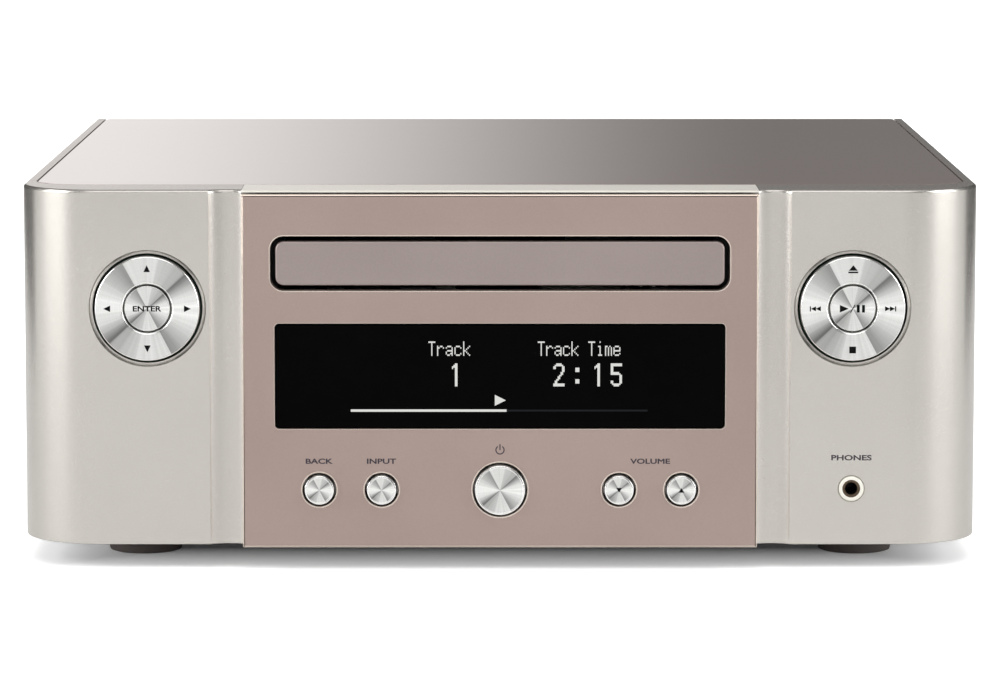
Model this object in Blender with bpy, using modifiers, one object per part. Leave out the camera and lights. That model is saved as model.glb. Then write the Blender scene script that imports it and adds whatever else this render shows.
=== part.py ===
"""Compact CD receiver: casing, front controls, disc loader and electronics.

Sizes are in millimetres and become metres when a mesh is made. The front faces -Y, the
right-hand side is +X, and the feet stand on z = 0 with the casing's box centred on the origin.
"""

import math

import bmesh
import bpy
from mathutils import Matrix, Vector

MM = 0.001
SHARP_ANGLE = math.radians(50)      # edges sharper than this are corners
FLAT_ANGLE = math.radians(0.5)      # edges flatter than this are inside one face

# ---------------------------------------------------------------------------------------
# Overall sizes
# ---------------------------------------------------------------------------------------
WIDTH = 280.0
HEIGHT = 111.0
DEPTH = 303.0
GAP = 0.3                   # clear space between neighbouring pieces
SHELL = 2.4                 # wall of a moulded shell
SHEET = 1.2                 # folded sheet steel
BOARD = 1.6                 # circuit board thickness

BUTTON_STAND_OUT = 1.5      # power button in front of the centre panel
PANEL_STAND_OUT = 3.0       # centre panel in front of the wings
TERMINAL_STAND_OUT = 13.5   # speaker terminals behind the rear panel
SIDE = WIDTH / 2
PANEL_FRONT = -DEPTH / 2 + BUTTON_STAND_OUT
WING_FRONT = PANEL_FRONT + PANEL_STAND_OUT
REAR_FACE = DEPTH / 2 - TERMINAL_STAND_OUT
SKIRT = 7.2                 # lower edge of the wings and the side panels

# Feet
FOOT_HEIGHT = 7.7
FOOT_RADIUS = 13.0
FOOT_PAD_RADIUS = 10.8
FOOT_PAD_HEIGHT = 2.6
FOOT_HOLE_RADIUS = 3.6         # recess for the foot's screw
FOOT_HOLE_DEPTH = 4.6
FOOT_INSET = 34.0           # foot centre from the side of the casing
FOOT_FRONT = WING_FRONT + 38.0
FOOT_REAR = REAR_FACE - 38.0

# Disc, tray and door
DISC_RADIUS = 60.0
RECESS_RADIUS = DISC_RADIUS + 0.3
TRAY_HALF = RECESS_RADIUS + 4.2
DOOR_HALF = TRAY_HALF + 0.5
DOOR_HEIGHT = 12.8
DOOR_THICKNESS = 2.8
DOOR_DROP = 21.1            # door centre below the top of the casing
DOOR_Z = HEIGHT - DOOR_DROP
SLOT_GAP = 1.4
DOOR_CORNER = 2.4
TRAY_TOP = DOOR_Z + 3.1
TRAY_PLATE = 3.8
TRAY_LIP = 6.9              # tray in front of the disc recess
TRAY_FRONT = PANEL_FRONT + DOOR_THICKNESS
TRAY_RAIL = 2.5
RECESS_DEPTH = 1.6
SMALL_RECESS_RADIUS = 40.4     # inner recess for an 80 mm disc
SMALL_RECESS_DEPTH = 2.4
RACK_WIDTH = 5.0
RACK_DROP = 8.1                # underside of the rack and front beam below the tray's top
SPINDLE_Y = TRAY_FRONT + TRAY_LIP + RECESS_RADIUS
TRAVEL = SPINDLE_Y + RECESS_RADIUS - PANEL_FRONT

# Centre panel
PANEL_MARGIN = 8.4          # panel beyond the tray slot
PANEL_HALF = DOOR_HALF + SLOT_GAP + PANEL_MARGIN
PANEL_THICKNESS = 3.6
PANEL_BOTTOM = 6.8
PANEL_TOP = HEIGHT - 0.8
PANEL_EDGE = 1.1            # bevel round the panel
TRIM_LIP = 0.5              # visible thickness of the trim bar above the panel

# Display
WINDOW_DROP = 11.4          # from the door down to the window
WINDOW_HEIGHT = 30.1
WINDOW_TOP = DOOR_Z - DOOR_HEIGHT / 2 - WINDOW_DROP
WINDOW_Z = WINDOW_TOP - WINDOW_HEIGHT / 2

# Wings
WING_GAP = 0.9              # between centre panel and wing
COVE_WIDTH = 8.7            # hollow channel beside the centre panel
COVE_DEPTH = 1.9
COVE_FLAT = 5.4             # from the channel's sharp edge to its deepest line
CORNER_RADIUS = 24.0
BAND_DEPTH = 18.0           # silver band in front of the top plate
WING_BACK = WING_FRONT + 32.0
WING_INNER = PANEL_HALF + WING_GAP
COVE_EDGE = WING_INNER + COVE_WIDTH
EDGE_ROUND = 1.0

# Top plate
STRIP_WIDTH = 3.4           # silver strip beside the top plate
PLATE_THICKNESS = 1.9
PLATE_CORNER = 13.5
PLATE_BACK_CORNER = 2.0

# Four-way rings
RING_RADIUS = 15.2
RING_GAP = 0.7
RING_BEVEL = 1.0            # soft edge round the ring's opening
RING_Z = HEIGHT - 34.5
RING_X = (COVE_EDGE + SIDE - CORNER_RADIUS) / 2 + 2.1
ENTER_RADIUS = 6.6
ENTER_GAP = 0.4
RING_STAND_OUT = 1.2
PRESS = 0.8                 # travel of every push button

# Buttons of the centre panel, from left to right: name, x, radius, stand-out
BUTTON_Z = 23.8
SMALL_RADIUS = 4.3
POWER_RADIUS = 7.3
SMALL_STAND_OUT = 1.2
BUTTON_GAP = 0.5
FLANGE_RIM = 1.3                    # button flange beyond the button
FLANGE = 0.9                        # thickness of that flange
STEM_RADIUS = 2.0                   # stem that reaches the switch
BUTTONS = (
    ("back_button", -52.5, SMALL_RADIUS, SMALL_STAND_OUT),
    ("input_button", -34.4, SMALL_RADIUS, SMALL_STAND_OUT),
    ("power_button", 0.0, POWER_RADIUS, BUTTON_STAND_OUT),
    ("volume_down_button", 34.6, SMALL_RADIUS, SMALL_STAND_OUT),
    ("volume_up_button", 52.7, SMALL_RADIUS, SMALL_STAND_OUT),
)
WEB_TOP = BUTTON_Z - POWER_RADIUS - FLANGE_RIM - 0.7    # lower web of the front subframe

# Headphone socket
JACK_RADIUS = 3.65
JACK_HOLE = 1.8
JACK_Z = 23.7
JACK_LIP = 2.7                      # inner radius of the socket's bright ring
JACK_BODY = (6.0, 14.0, 5.0)        # half width, depth and half height of its body

# Depths of the layers behind the front
SUBFRAME_FRONT = PANEL_FRONT + PANEL_THICKNESS + GAP
SUBFRAME_BACK = SUBFRAME_FRONT + 2.2
SWITCH_FRONT = PANEL_FRONT + 9.8
BOARD_FRONT = SWITCH_FRONT + 1.6
BOARD_BACK = BOARD_FRONT + BOARD
RING_BACK = WING_FRONT + 3.4        # rear of the ring's inner web
RING_PIVOT_Y = WING_FRONT + 4.9
CARRIER_INNER = ENTER_RADIUS + 1.6
CARRIER_OUTER = RING_RADIUS - 4.8
CARRIER_MIDDLE = (CARRIER_INNER + CARRIER_OUTER) / 2
CARRIER_FRONT = RING_PIVOT_Y - 0.6
CARRIER_BACK = RING_PIVOT_Y + 0.6
STUD_RADIUS = 0.9                   # studs that the carrier and its ring tilt on
PAD_HALF = 1.4                      # pads behind the ring, over their switches
PAD_INSET = 2.8                     # pad centre from the ring's edge
PAD_GAP = 0.75                      # pad to switch: what the ring can tilt
SWITCH_HALF = 1.6

# Loader frame
LOADER_FRONT = BOARD_BACK + 3.0
LOADER_WALL = 2.4
LOADER_HALF = TRAY_HALF + 0.5 + LOADER_WALL
LOADER_TOP = TRAY_TOP + 4.5
LOADER_BOTTOM = TRAY_TOP - 31.0
LOADER_FLOOR = 2.5
PLATFORM_TOP = TRAY_TOP - 17.5
PLATFORM = 2.5
TRAY_BOTTOM = TRAY_TOP - TRAY_PLATE
RAIL_BOTTOM = TRAY_TOP - 6.1
LEDGE_TOP = RAIL_BOTTOM - GAP

# Loading gears
MODULE = 1.2
RACK_PINION_TEETH = 15
WHEEL_TEETH = 22
LOADING_PINION_TEETH = 10
AXLE_RADIUS = 1.7
RACK_X = TRAY_HALF - 12.5           # pitch line of the tray's rack
TIP = 0.85                          # tooth tip above the pitch line, in modules
ROOT = 1.15                         # tooth root below the pitch line, in modules
TIP_SHARE = 0.115                   # half a tooth's width at its tip, in pitches
ROOT_SHARE = 0.285                  # and at its root
PINION_RADIUS = MODULE * RACK_PINION_TEETH / 2
WHEEL_RADIUS = MODULE * WHEEL_TEETH / 2
LOADING_PINION_RADIUS = MODULE * LOADING_PINION_TEETH / 2
GEAR_Y = LOADER_FRONT + WHEEL_RADIUS + TIP * MODULE + 3.0
TRAY_GEAR_X = RACK_X - PINION_RADIUS
LOADING_GEAR_X = TRAY_GEAR_X - WHEEL_RADIUS - LOADING_PINION_RADIUS
PULLEY_GROOVE = 12.0
MOTOR_GROOVE = 3.0
MOTOR_X = LOADING_GEAR_X - 40.0
MOTOR_RADIUS = 12.0
MOTOR_LENGTH = 18.0
BELT = 0.9
TRAY_BACK = GEAR_Y + TRAVEL + 3.0
LOADER_BACK = TRAY_BACK + 6.0

# Traverse (pickup carriage frame)
TRAVERSE_TOP = TRAY_TOP - 6.4
TRAVERSE_PLATE = 2.0
TRAVERSE_GAP = 2.5                  # from the tray gear's teeth to the traverse
TRAVERSE_FRONT = GEAR_Y + WHEEL_RADIUS + TIP * MODULE + TRAVERSE_GAP
TRAVERSE_REAR = SPINDLE_Y + 88.0
TRAVERSE_LEFT = -(TRAY_HALF - 12.5)
TRAVERSE_RIGHT = TRAY_HALF - 26.5
PIVOT_Y = SPINDLE_Y + 86.0
PIVOT_Z = TRAY_TOP - 15.0
PIVOT_RADIUS = 2.0
TURNTABLE_RADIUS = 16.5
TURNTABLE_TOP = TRAY_TOP + 0.2
SLOT_HALF = TURNTABLE_RADIUS + 3.5  # pickup slot in the tray
LENS_Y = SPINDLE_Y + 23.0           # lens at the disc's innermost track
SLED_RACK_X = TRAVERSE_LEFT + 20.0
ROD_X = SLED_RACK_X + 6.0
ROD_Z = TRAY_TOP - 12.0
ROD_RADIUS = 1.5
SLED_MODULE = 1.0
SLED_TEETH = 16
SLED_GEAR_RADIUS = SLED_MODULE * SLED_TEETH / 2
SLED_GEAR_X = SLED_RACK_X - SLED_GEAR_RADIUS
SLED_GEAR_Y = SPINDLE_Y + 40.0
SPINDLE_MOTOR_RADIUS = 12.0
SPINDLE_MOTOR_LENGTH = 9.0
SLED_MOTOR_RADIUS = 9.0
SLED_MOTOR_LENGTH = 11.2
RAIL_X = TRAVERSE_RIGHT - 13.0      # the traverse plate's edge that guides the sled
BRIDGE_HALF = 19.0                  # half the depth of the clamp bridge
CLAMPER_NECK = 12.5
CLAMPER_HOLLOW = 8.2                # recess that takes the turntable's hub
HUB_RADIUS = 7.3
HUB_HEIGHT = 2.2
CLAMPER_BOTTOM = TURNTABLE_TOP + 1.5

# Chassis and rear panel
PAN_BOTTOM = FOOT_HEIGHT + GAP
PAN_HALF = SIDE - 5.8
PAN_FRONT = BOARD_BACK + 0.6
PAN_BACK = REAR_FACE - SHEET - GAP
LID_HALF = PAN_HALF + GAP + SHEET
LID_TOP = HEIGHT - PLATE_THICKNESS - GAP
PAN_FLANGE = 9.0
BOARD_Z = PAN_BOTTOM + 10.0         # underside of the main and power boards
POST_RADIUS = 3.0
INLET_X = -112.0
INLET_Z = 38.0
INLET_HALF = 11.0                   # body of the mains inlet, half its width
INLET_TALL = 7.0                    # and half its height
INLET_FLANGE = 5.0                  # flange beyond the body at each side
INLET_HOLLOW = 8.2                  # half the width of its hollow
INLET_HOLLOW_TALL = 4.4
PIN_PITCH = 8.6
PIN_RADIUS = 1.2
SPEAKER_X = -48.0
SPEAKER_Z = 52.0
SPEAKER_PITCH_X = 30.0
SPEAKER_PITCH_Z = 24.0
SPEAKER_MARGIN = 9.5                # terminal plate beyond the cap centres
CAP_STUD = 2.0                      # threaded stud in each cap
CAP_RADIUS = 5.6
CAP_SKIRT = 6.2
RCA_X = 22.0
RCA_Z = 50.0
RCA_PITCH = 18.0
RCA_MARGIN = 8.0
RCA_RADIUS = 4.15
RCA_BORE = 1.7
NETWORK_X = 68.0
NETWORK_Z = 44.0
NETWORK_HALF = 8.0
NETWORK_TALL = 6.8
PORT_HALF = 5.9                     # opening for the network plug
PORT_BOTTOM = 4.6
PORT_TOP = 3.0
ANTENNA_X = 104.0
ANTENNA_Z = 58.0
ANTENNA_HALF = 7.0
ANTENNA_RADIUS = 4.8
VENT_HALF = 1.5                     # half the width of a cooling slot
REAR_VENTS = 10
REAR_VENT_PITCH = 12.0
BASE_VENTS = 8
BASE_VENT_PITCH = 10.0
BASE_VENT_LENGTH = 26.0
CHIPS = (                           # x, y, width, depth and height of each block
    (30, 60, 22, 22, 3), (70, 50, 16, 16, 2.4), (100, -40, 18, 30, 8), (60, 90, 34, 10, 12),
    (100, 20, 20, 26, 4),
)
CHIP_SINK = 0.6                     # how far a component reaches into its board
BIG_STORE = (11.0, 36.0)            # radius and height of the large capacitors
SMALL_STORE = (9.0, 28.0)
SINK_FINS = 8
SINK_HALF = 26.0
SINK_TALL = 34.0


# ---------------------------------------------------------------------------------------
# Scene, materials and mesh helpers
# ---------------------------------------------------------------------------------------
def clear_scene():
    """Remove every object that the scene starts with."""
    for item in list(bpy.data.objects):
        bpy.data.objects.remove(item, do_unlink=True)


def new_collection(name):
    """A collection linked to the scene."""
    collection = bpy.data.collections.new(name)
    bpy.context.scene.collection.children.link(collection)
    return collection


clear_scene()
PARTS = new_collection("cd_player")
CUTTERS = new_collection("cutters")


def linear(channel):
    """One sRGB channel (0 to 1) as linear light."""
    if channel <= 0.04045:
        return channel / 12.92
    return ((channel + 0.055) / 1.055) ** 2.4


def material(name, colour, roughness, metallic=0.0):
    """A Principled material from a six-digit sRGB colour."""
    shader = bpy.data.materials.new(name)
    shader.use_nodes = True
    values = [linear(int(colour[i:i + 2], 16) / 255) for i in (0, 2, 4)]
    principled = shader.node_tree.nodes["Principled BSDF"]
    principled.inputs["Base Color"].default_value = (*values, 1.0)
    principled.inputs["Roughness"].default_value = roughness
    principled.inputs["Metallic"].default_value = metallic
    shader.diffuse_color = (*values, 1.0)
    return shader


SILVER = material("silver_paint", "C8C4BE", 0.35, 0.6)
TAUPE = material("taupe_panel", "AA9A91", 0.45, 0.3)
MAUVE = material("mauve_door", "A09490", 0.45, 0.3)
GLOSS_TAUPE = material("gloss_top", "8C8079", 0.08)
BLACK_WINDOW = material("black_window", "050505", 0.05)
SPUN_METAL = material("spun_aluminium", "D8D8D6", 0.25, 1.0)
BLACK_PLASTIC = material("black_plastic", "222222", 0.5)
GREY_PLASTIC = material("grey_plastic", "55585A", 0.5)
FOOT_RUBBER = material("foot_rubber", "2E2826", 0.7)
STEEL = material("zinc_steel", "A8AAA8", 0.35, 0.9)
BLACK_STEEL = material("black_steel", "1C1C1E", 0.5, 0.3)
GREEN_BOARD = material("circuit_board", "1E4A2C", 0.5)
ALUMINIUM = material("extruded_aluminium", "6E7072", 0.4, 0.9)
GOLD = material("phono_gold", "C9A45C", 0.25, 1.0)
BELT_RUBBER = material("belt_rubber", "151515", 0.8)
WHITE_NYLON = material("white_nylon", "D9D6CC", 0.5)
COPPER_TAPE = material("transformer_tape", "B79A3A", 0.5)


def add_box(shape, low, high):
    """A box between two corners, added to a bmesh."""
    size = [(b - a) * MM for a, b in zip(low, high)]
    centre = [(a + b) / 2 * MM for a, b in zip(low, high)]
    matrix = Matrix.Translation(centre) @ Matrix.Diagonal((*size, 1.0))
    return bmesh.ops.create_cube(shape, size=1.0, matrix=matrix)["verts"]


TURNS = {
    "Z": Matrix.Identity(4),
    "Y": Matrix.Rotation(math.radians(90), 4, "X"),
    "X": Matrix.Rotation(math.radians(90), 4, "Y"),
}


def add_cylinder(shape, axis, centre, radius, low, high, steps=24, top_radius=None):
    """A cylinder or cone along an axis; centre is its place across that axis.

    radius is the radius at low and top_radius the one at high.
    """
    end = radius if top_radius is None else top_radius
    first, second = (radius, end) if axis != "Y" else (end, radius)
    middle = (low + high) / 2
    if axis == "Z":
        place = (centre[0], centre[1], middle)
    elif axis == "Y":
        place = (centre[0], middle, centre[1])
    else:
        place = (middle, centre[0], centre[1])
    matrix = Matrix.Translation(Vector(place) * MM) @ TURNS[axis]
    bmesh.ops.create_cone(shape, cap_ends=True, segments=steps, radius1=first * MM,
                          radius2=second * MM, depth=(high - low) * MM, matrix=matrix)


def add_turned(shape, centre, profile, steps):
    """A body turned about a line along Y from a profile of (radius, y) that ends on the line."""
    verts = [shape.verts.new(((centre[0] + radius) * MM, y * MM, centre[1] * MM))
             for radius, y in profile]
    edges = [shape.edges.new(pair) for pair in zip(verts, verts[1:])]
    bmesh.ops.spin(shape, geom=verts + edges, cent=(centre[0] * MM, 0, centre[1] * MM),
                   axis=(0, 1, 0), angle=math.tau, steps=steps)
    bmesh.ops.remove_doubles(shape, verts=shape.verts, dist=0.01 * MM)


def sharp(edge):
    """Whether an edge is a real corner and not a line across a flat face."""
    return len(edge.link_faces) == 2 and abs(edge.calc_face_angle()) > SHARP_ANGLE


def merge_flat(shape):
    """Join the triangles of each flat face into one face, so that bevels run cleanly."""
    bmesh.ops.dissolve_limit(shape, angle_limit=FLAT_ANGLE, verts=shape.verts,
                             edges=shape.edges)


def round_edges(shape, chosen, width, steps=2):
    """Bevel the sharp edges whose two ends, in millimetres, both pass the test."""
    merge_flat(shape)
    edges = [edge for edge in shape.edges
             if sharp(edge) and all(chosen(v.co / MM) for v in edge.verts)]
    bmesh.ops.bevel(shape, geom=edges, offset=width * MM, segments=steps,
                    profile=0.5, affect="EDGES")


def finish_mesh(shape, name):
    """Turn a bmesh into mesh data with outward faces."""
    bmesh.ops.recalc_face_normals(shape, faces=shape.faces)
    mesh = bpy.data.meshes.new(name)
    shape.to_mesh(mesh)
    shape.free()
    return mesh


def outline_mesh(name, axis, loops, low, high):
    """A flat outline, with any holes as further loops, thickened along an axis."""
    curve = bpy.data.curves.new(name, "CURVE")
    curve.dimensions = "2D"
    curve.fill_mode = "BOTH"
    curve.extrude = (high - low) / 2 * MM
    for loop in loops:
        spline = curve.splines.new("POLY")
        spline.points.add(len(loop) - 1)
        for point, (u, v) in zip(spline.points, loop):
            point.co = (u * MM, v * MM, 0.0, 1.0)
        spline.use_cyclic_u = True
    holder = bpy.data.objects.new(name, curve)
    bpy.context.scene.collection.objects.link(holder)
    bpy.context.view_layer.update()
    evaluated = holder.evaluated_get(bpy.context.evaluated_depsgraph_get())
    mesh = bpy.data.meshes.new_from_object(evaluated)
    bpy.data.objects.remove(holder, do_unlink=True)
    bpy.data.curves.remove(curve)
    middle = (low + high) / 2 * MM
    if axis == "Z":
        matrix = Matrix.Translation((0, 0, middle))
    elif axis == "Y":
        matrix = Matrix.Translation((0, middle, 0)) @ TURNS["Y"]
    else:
        columns = Matrix(((0, 0, 1, 0), (1, 0, 0, 0), (0, 1, 0, 0), (0, 0, 0, 1)))
        matrix = Matrix.Translation((middle, 0, 0)) @ columns
    mesh.transform(matrix)
    shape = bmesh.new()
    shape.from_mesh(mesh)
    bpy.data.meshes.remove(mesh)
    bmesh.ops.remove_doubles(shape, verts=shape.verts, dist=0.002 * MM)
    return shape


def arc(centre_u, centre_v, radius, start, end, steps):
    """Points of an arc, angles in degrees."""
    points = []
    for step in range(steps + 1):
        angle = math.radians(start + (end - start) * step / steps)
        points.append((centre_u + radius * math.cos(angle), centre_v + radius * math.sin(angle)))
    return points


def rounded_rectangle(u0, u1, v0, v1, radius, steps=4):
    """A rectangle outline with round corners."""
    points = arc(u1 - radius, v0 + radius, radius, -90, 0, steps)
    points += arc(u1 - radius, v1 - radius, radius, 0, 90, steps)
    points += arc(u0 + radius, v1 - radius, radius, 90, 180, steps)
    points += arc(u0 + radius, v0 + radius, radius, 180, 270, steps)
    return points


def gear_outline(teeth, module, first_angle, centre):
    """Outline of a spur gear with straight-sided teeth; one tooth centred on first_angle."""
    points = []
    pitch = 360.0 / teeth
    radius = module * teeth / 2
    for tooth in range(teeth):
        middle = first_angle + tooth * pitch
        for share, reach in ((-ROOT_SHARE, -ROOT), (-TIP_SHARE, TIP),
                             (TIP_SHARE, TIP), (ROOT_SHARE, -ROOT)):
            angle = math.radians(middle + share * pitch)
            length = radius + reach * module
            points.append((centre[0] + length * math.cos(angle),
                           centre[1] + length * math.sin(angle)))
    return points


def rack_outline(pitch_x, back_x, start, end, module, tooth_y):
    """Outline of a rack along Y with its teeth facing -X; one tooth is centred on tooth_y."""
    pitch = math.pi * module
    toward = 1 if back_x > pitch_x else -1
    first = math.ceil((start - tooth_y) / pitch + 0.35)
    last = math.floor((end - tooth_y) / pitch - 0.35)
    root = pitch_x + toward * ROOT * module
    tip = pitch_x - toward * TIP * module
    points = [(back_x, end), (back_x, start), (root, start)]
    for tooth in range(first, last + 1):
        middle = tooth_y + tooth * pitch
        for share, across in ((-ROOT_SHARE, root), (-TIP_SHARE, tip),
                              (TIP_SHARE, tip), (ROOT_SHARE, root)):
            points.append((across, middle + share * pitch))
    points.append((root, end))
    return points


def place(name, data, shader, origin):
    """Make a named part whose origin lies at a point given in millimetres."""
    part = bpy.data.objects.new(name, data)
    data.transform(Matrix.Translation(-Vector(origin) * MM))
    part.location = Vector(origin) * MM
    data.materials.append(shader)
    PARTS.objects.link(part)
    return part


def solid(name, shape, shader, origin=(0, 0, 0)):
    """A part from a finished bmesh."""
    return place(name, finish_mesh(shape, name), shader, origin)


def box_part(name, low, high, shader, origin=(0, 0, 0)):
    """A part that starts as one box."""
    shape = bmesh.new()
    add_box(shape, low, high)
    return solid(name, shape, shader, origin)


def closed_on_axis(profile):
    """Order a profile so that it starts and ends at its two points on the axis, if it has any."""
    on_axis = [index for index, (radius, _) in enumerate(profile) if radius == 0]
    if not on_axis or on_axis == [0, len(profile) - 1]:
        return profile
    return profile[on_axis[-1]:] + profile[:on_axis[-1]]


def turned(name, profile, shader, axis="Z", centre=(0, 0), steps=32, moving_z=0.0):
    """A turned part: a profile of (radius, place along the axis) swept by a Screw modifier.

    Along Y the profile gives y values and the part faces the front. A profile that never
    reaches the axis is closed into a ring.
    """
    sign = -1 if axis == "Y" else 1
    points = [(radius, sign * along) for radius, along in closed_on_axis(profile)]
    area = sum(a[0] * b[1] - b[0] * a[1] for a, b in zip(points, points[1:] + points[:1]))
    if area > 0:
        points.reverse()
    ring = min(radius for radius, _ in points) > 0
    mesh = bpy.data.meshes.new(name)
    count = len(points)
    edges = [(i, i + 1) for i in range(count - 1)]
    if ring:
        edges.append((count - 1, 0))
    mesh.from_pydata([(r * MM, 0, (h - moving_z) * MM) for r, h in points], edges, [])
    part = bpy.data.objects.new(name, mesh)
    mesh.materials.append(shader)
    PARTS.objects.link(part)
    if axis == "Y":
        part.location = Vector((centre[0], -moving_z, centre[1])) * MM
        part.rotation_euler = (math.radians(90), 0, 0)
    else:
        part.location = Vector((centre[0], centre[1], moving_z)) * MM
    screw = part.modifiers.new("turn", "SCREW")
    screw.axis = "Z"
    screw.steps = steps
    screw.render_steps = steps
    screw.use_merge_vertices = True
    screw.merge_threshold = 0.00001
    screw.use_smooth_shade = True
    return part


def cutter(name, shape):
    """A hidden body used only by Boolean modifiers."""
    body = bpy.data.objects.new(name, finish_mesh(shape, name))
    body.hide_render = True
    body.display_type = "WIRE"
    CUTTERS.objects.link(body)
    return body


def boolean(part, operation, name, shape):
    """Add a Boolean modifier whose operand is the bmesh given."""
    modifier = part.modifiers.new(name, "BOOLEAN")
    modifier.operation = operation
    modifier.solver = "EXACT"
    modifier.object = cutter(part.name + "_" + name, shape)


def cut(part, name, shape):
    """Take a body away from a part."""
    boolean(part, "DIFFERENCE", name, shape)


def join(part, name, shape):
    """Add a body to a part."""
    boolean(part, "UNION", name, shape)


# ---------------------------------------------------------------------------------------
# Casing
# ---------------------------------------------------------------------------------------
def mirrored(points, side):
    """The outline on the given side, +1 right or -1 left."""
    return [(side * x, y) for x, y in points]


def plate_outline(grow):
    """Plan of the glossy top plate, grown by a clearance; the right and left halves."""
    half = SIDE - STRIP_WIDTH + grow
    front = WING_FRONT + BAND_DEPTH - grow
    back = REAR_FACE - GAP + grow
    radius = PLATE_CORNER + grow
    points = arc(half - radius, front + radius, radius, -90, 0, 8)
    points += arc(half - PLATE_BACK_CORNER, back - PLATE_BACK_CORNER, PLATE_BACK_CORNER, 0, 90, 3)
    points += [(-x, y) for x, y in reversed(points)]
    return points


def cove_circle():
    """Centre and radius of the hollow channel's arc, for the right-hand wing."""
    radius = (COVE_FLAT ** 2 + COVE_DEPTH ** 2) / (2 * COVE_DEPTH)
    return COVE_EDGE - COVE_FLAT, WING_FRONT + COVE_DEPTH - radius, radius


def cove_arc(grow, x_from, x_to, steps):
    """Points on the channel's arc (grown outwards) between two x values."""
    centre_x, centre_y, radius = cove_circle()
    radius += grow
    first = math.degrees(math.acos((x_from - centre_x) / radius))
    last = math.degrees(math.acos((x_to - centre_x) / radius))
    return arc(centre_x, centre_y, radius, first, last, steps)


def make_wing(name, side, with_jack):
    """Moulded front corner with the channel beside the panel and a round control opening."""
    corner_x = SIDE - CORNER_RADIUS
    corner_y = WING_FRONT + CORNER_RADIUS
    outer = cove_arc(0, WING_INNER, COVE_EDGE, 6)
    outer += arc(corner_x, corner_y, CORNER_RADIUS, -90, 0, 9)
    outer += [(SIDE, WING_BACK), (WING_INNER, WING_BACK)]
    shape = outline_mesh(name, "Z", [mirrored(outer, side)], SKIRT, HEIGHT)

    def rounded(edge):
        first, second = (v.co / MM for v in edge.verts)
        flat = abs(first.z - second.z) < 0.01
        at_back = min(first.y, second.y) > WING_BACK - 0.01
        inside = max(abs(first.x), abs(second.x)) < WING_INNER + 0.01
        return flat and not at_back and not inside

    merge_flat(shape)
    rim = [edge for edge in shape.edges if sharp(edge) and rounded(edge)]
    bmesh.ops.bevel(shape, geom=rim, offset=EDGE_ROUND * MM, segments=1,
                    profile=0.5, affect="EDGES")
    wing = solid(name, shape, SILVER)

    inner_front = WING_FRONT + SHELL
    centre_x, centre_y, radius = cove_circle()
    meet = centre_x + math.sqrt((radius + SHELL) ** 2 - (inner_front - centre_y) ** 2)
    inner_corner = CORNER_RADIUS - SHELL
    hollow = cove_arc(SHELL, WING_INNER - 3.0, meet, 4)
    hollow += arc(corner_x, corner_y, inner_corner, -90, 0, 6)
    hollow += [(SIDE - SHELL, WING_BACK + 5), (WING_INNER - 3.0, WING_BACK + 5)]
    cavity = outline_mesh(name + "_cavity", "Z", [mirrored(hollow, side)],
                          SKIRT - 5, LID_TOP - SHEET - GAP)
    cut(wing, "cavity", cavity)
    pocket = outline_mesh(name + "_pocket", "Z", [plate_outline(GAP)],
                          LID_TOP - SHEET - 2, HEIGHT + 5)
    cut(wing, "top_pocket", pocket)

    opening = RING_RADIUS + RING_GAP
    hole = bmesh.new()
    add_turned(hole, (side * RING_X, RING_Z), [
        (0, WING_FRONT - 5), (opening + RING_BEVEL, WING_FRONT - 5),
        (opening + RING_BEVEL, WING_FRONT), (opening, WING_FRONT + 0.7),
        (opening, WING_FRONT + SHELL + 2), (0, WING_FRONT + SHELL + 2),
    ], 40)
    cut(wing, "ring_opening", hole)
    if with_jack:
        bore = bmesh.new()
        add_cylinder(bore, "Y", (side * RING_X, JACK_Z), JACK_RADIUS + GAP, WING_FRONT - 5,
                     WING_FRONT + SHELL + 2, 20)
        cut(wing, "jack_hole", bore)
    return wing


def make_side_panel(name, side):
    """Outer side shell with the sloping silver strip along its top edge."""
    top = LID_TOP - SHEET - GAP
    section = [
        (SIDE - SHELL, SKIRT), (SIDE - 0.5, SKIRT), (SIDE, SKIRT + 0.5),
        (SIDE, HEIGHT - 1.3), (SIDE - 0.5, HEIGHT - 0.7), (SIDE - STRIP_WIDTH + GAP, HEIGHT),
        (SIDE - STRIP_WIDTH + GAP, top), (SIDE - SHELL, top),
    ]
    shape = outline_mesh(name, "Y", [mirrored(section, side)], WING_BACK + GAP, REAR_FACE)
    return solid(name, shape, SILVER)


def make_top():
    """Glossy top plate and the folded steel lid under it."""
    shape = outline_mesh("top_plate", "Z", [plate_outline(0)], HEIGHT - PLATE_THICKNESS, HEIGHT)
    round_edges(shape, lambda p: p.z > HEIGHT - 0.01, 0.4, 1)
    solid("top_plate", shape, GLOSS_TAUPE)

    front = WING_BACK + 1.0
    lid = box_part("top_cover", (-LID_HALF, front, PAN_BOTTOM + 4), (LID_HALF, PAN_BACK, LID_TOP),
                   STEEL)
    inside = bmesh.new()
    inner = LID_HALF - SHEET
    add_box(inside, (-inner, front - 5, 0), (inner, PAN_BACK + 5, LID_TOP - SHEET))
    cut(lid, "inside", inside)


def make_trim_bar():
    """Silver bar that closes the top band above the centre panel."""
    lip = HEIGHT - TRIM_LIP
    front = PANEL_FRONT + 0.4
    back = WING_FRONT + BAND_DEPTH - GAP
    bottom = LID_TOP - SHEET - GAP
    section = [
        (back, HEIGHT), (front + 0.4, HEIGHT), (front, HEIGHT - 0.25), (front, lip),
        (SUBFRAME_FRONT, lip), (SUBFRAME_FRONT, bottom), (back, bottom),
    ]
    shape = outline_mesh("top_trim_bar", "X", [section], -PANEL_HALF, PANEL_HALF)
    solid("top_trim_bar", shape, SILVER)


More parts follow.
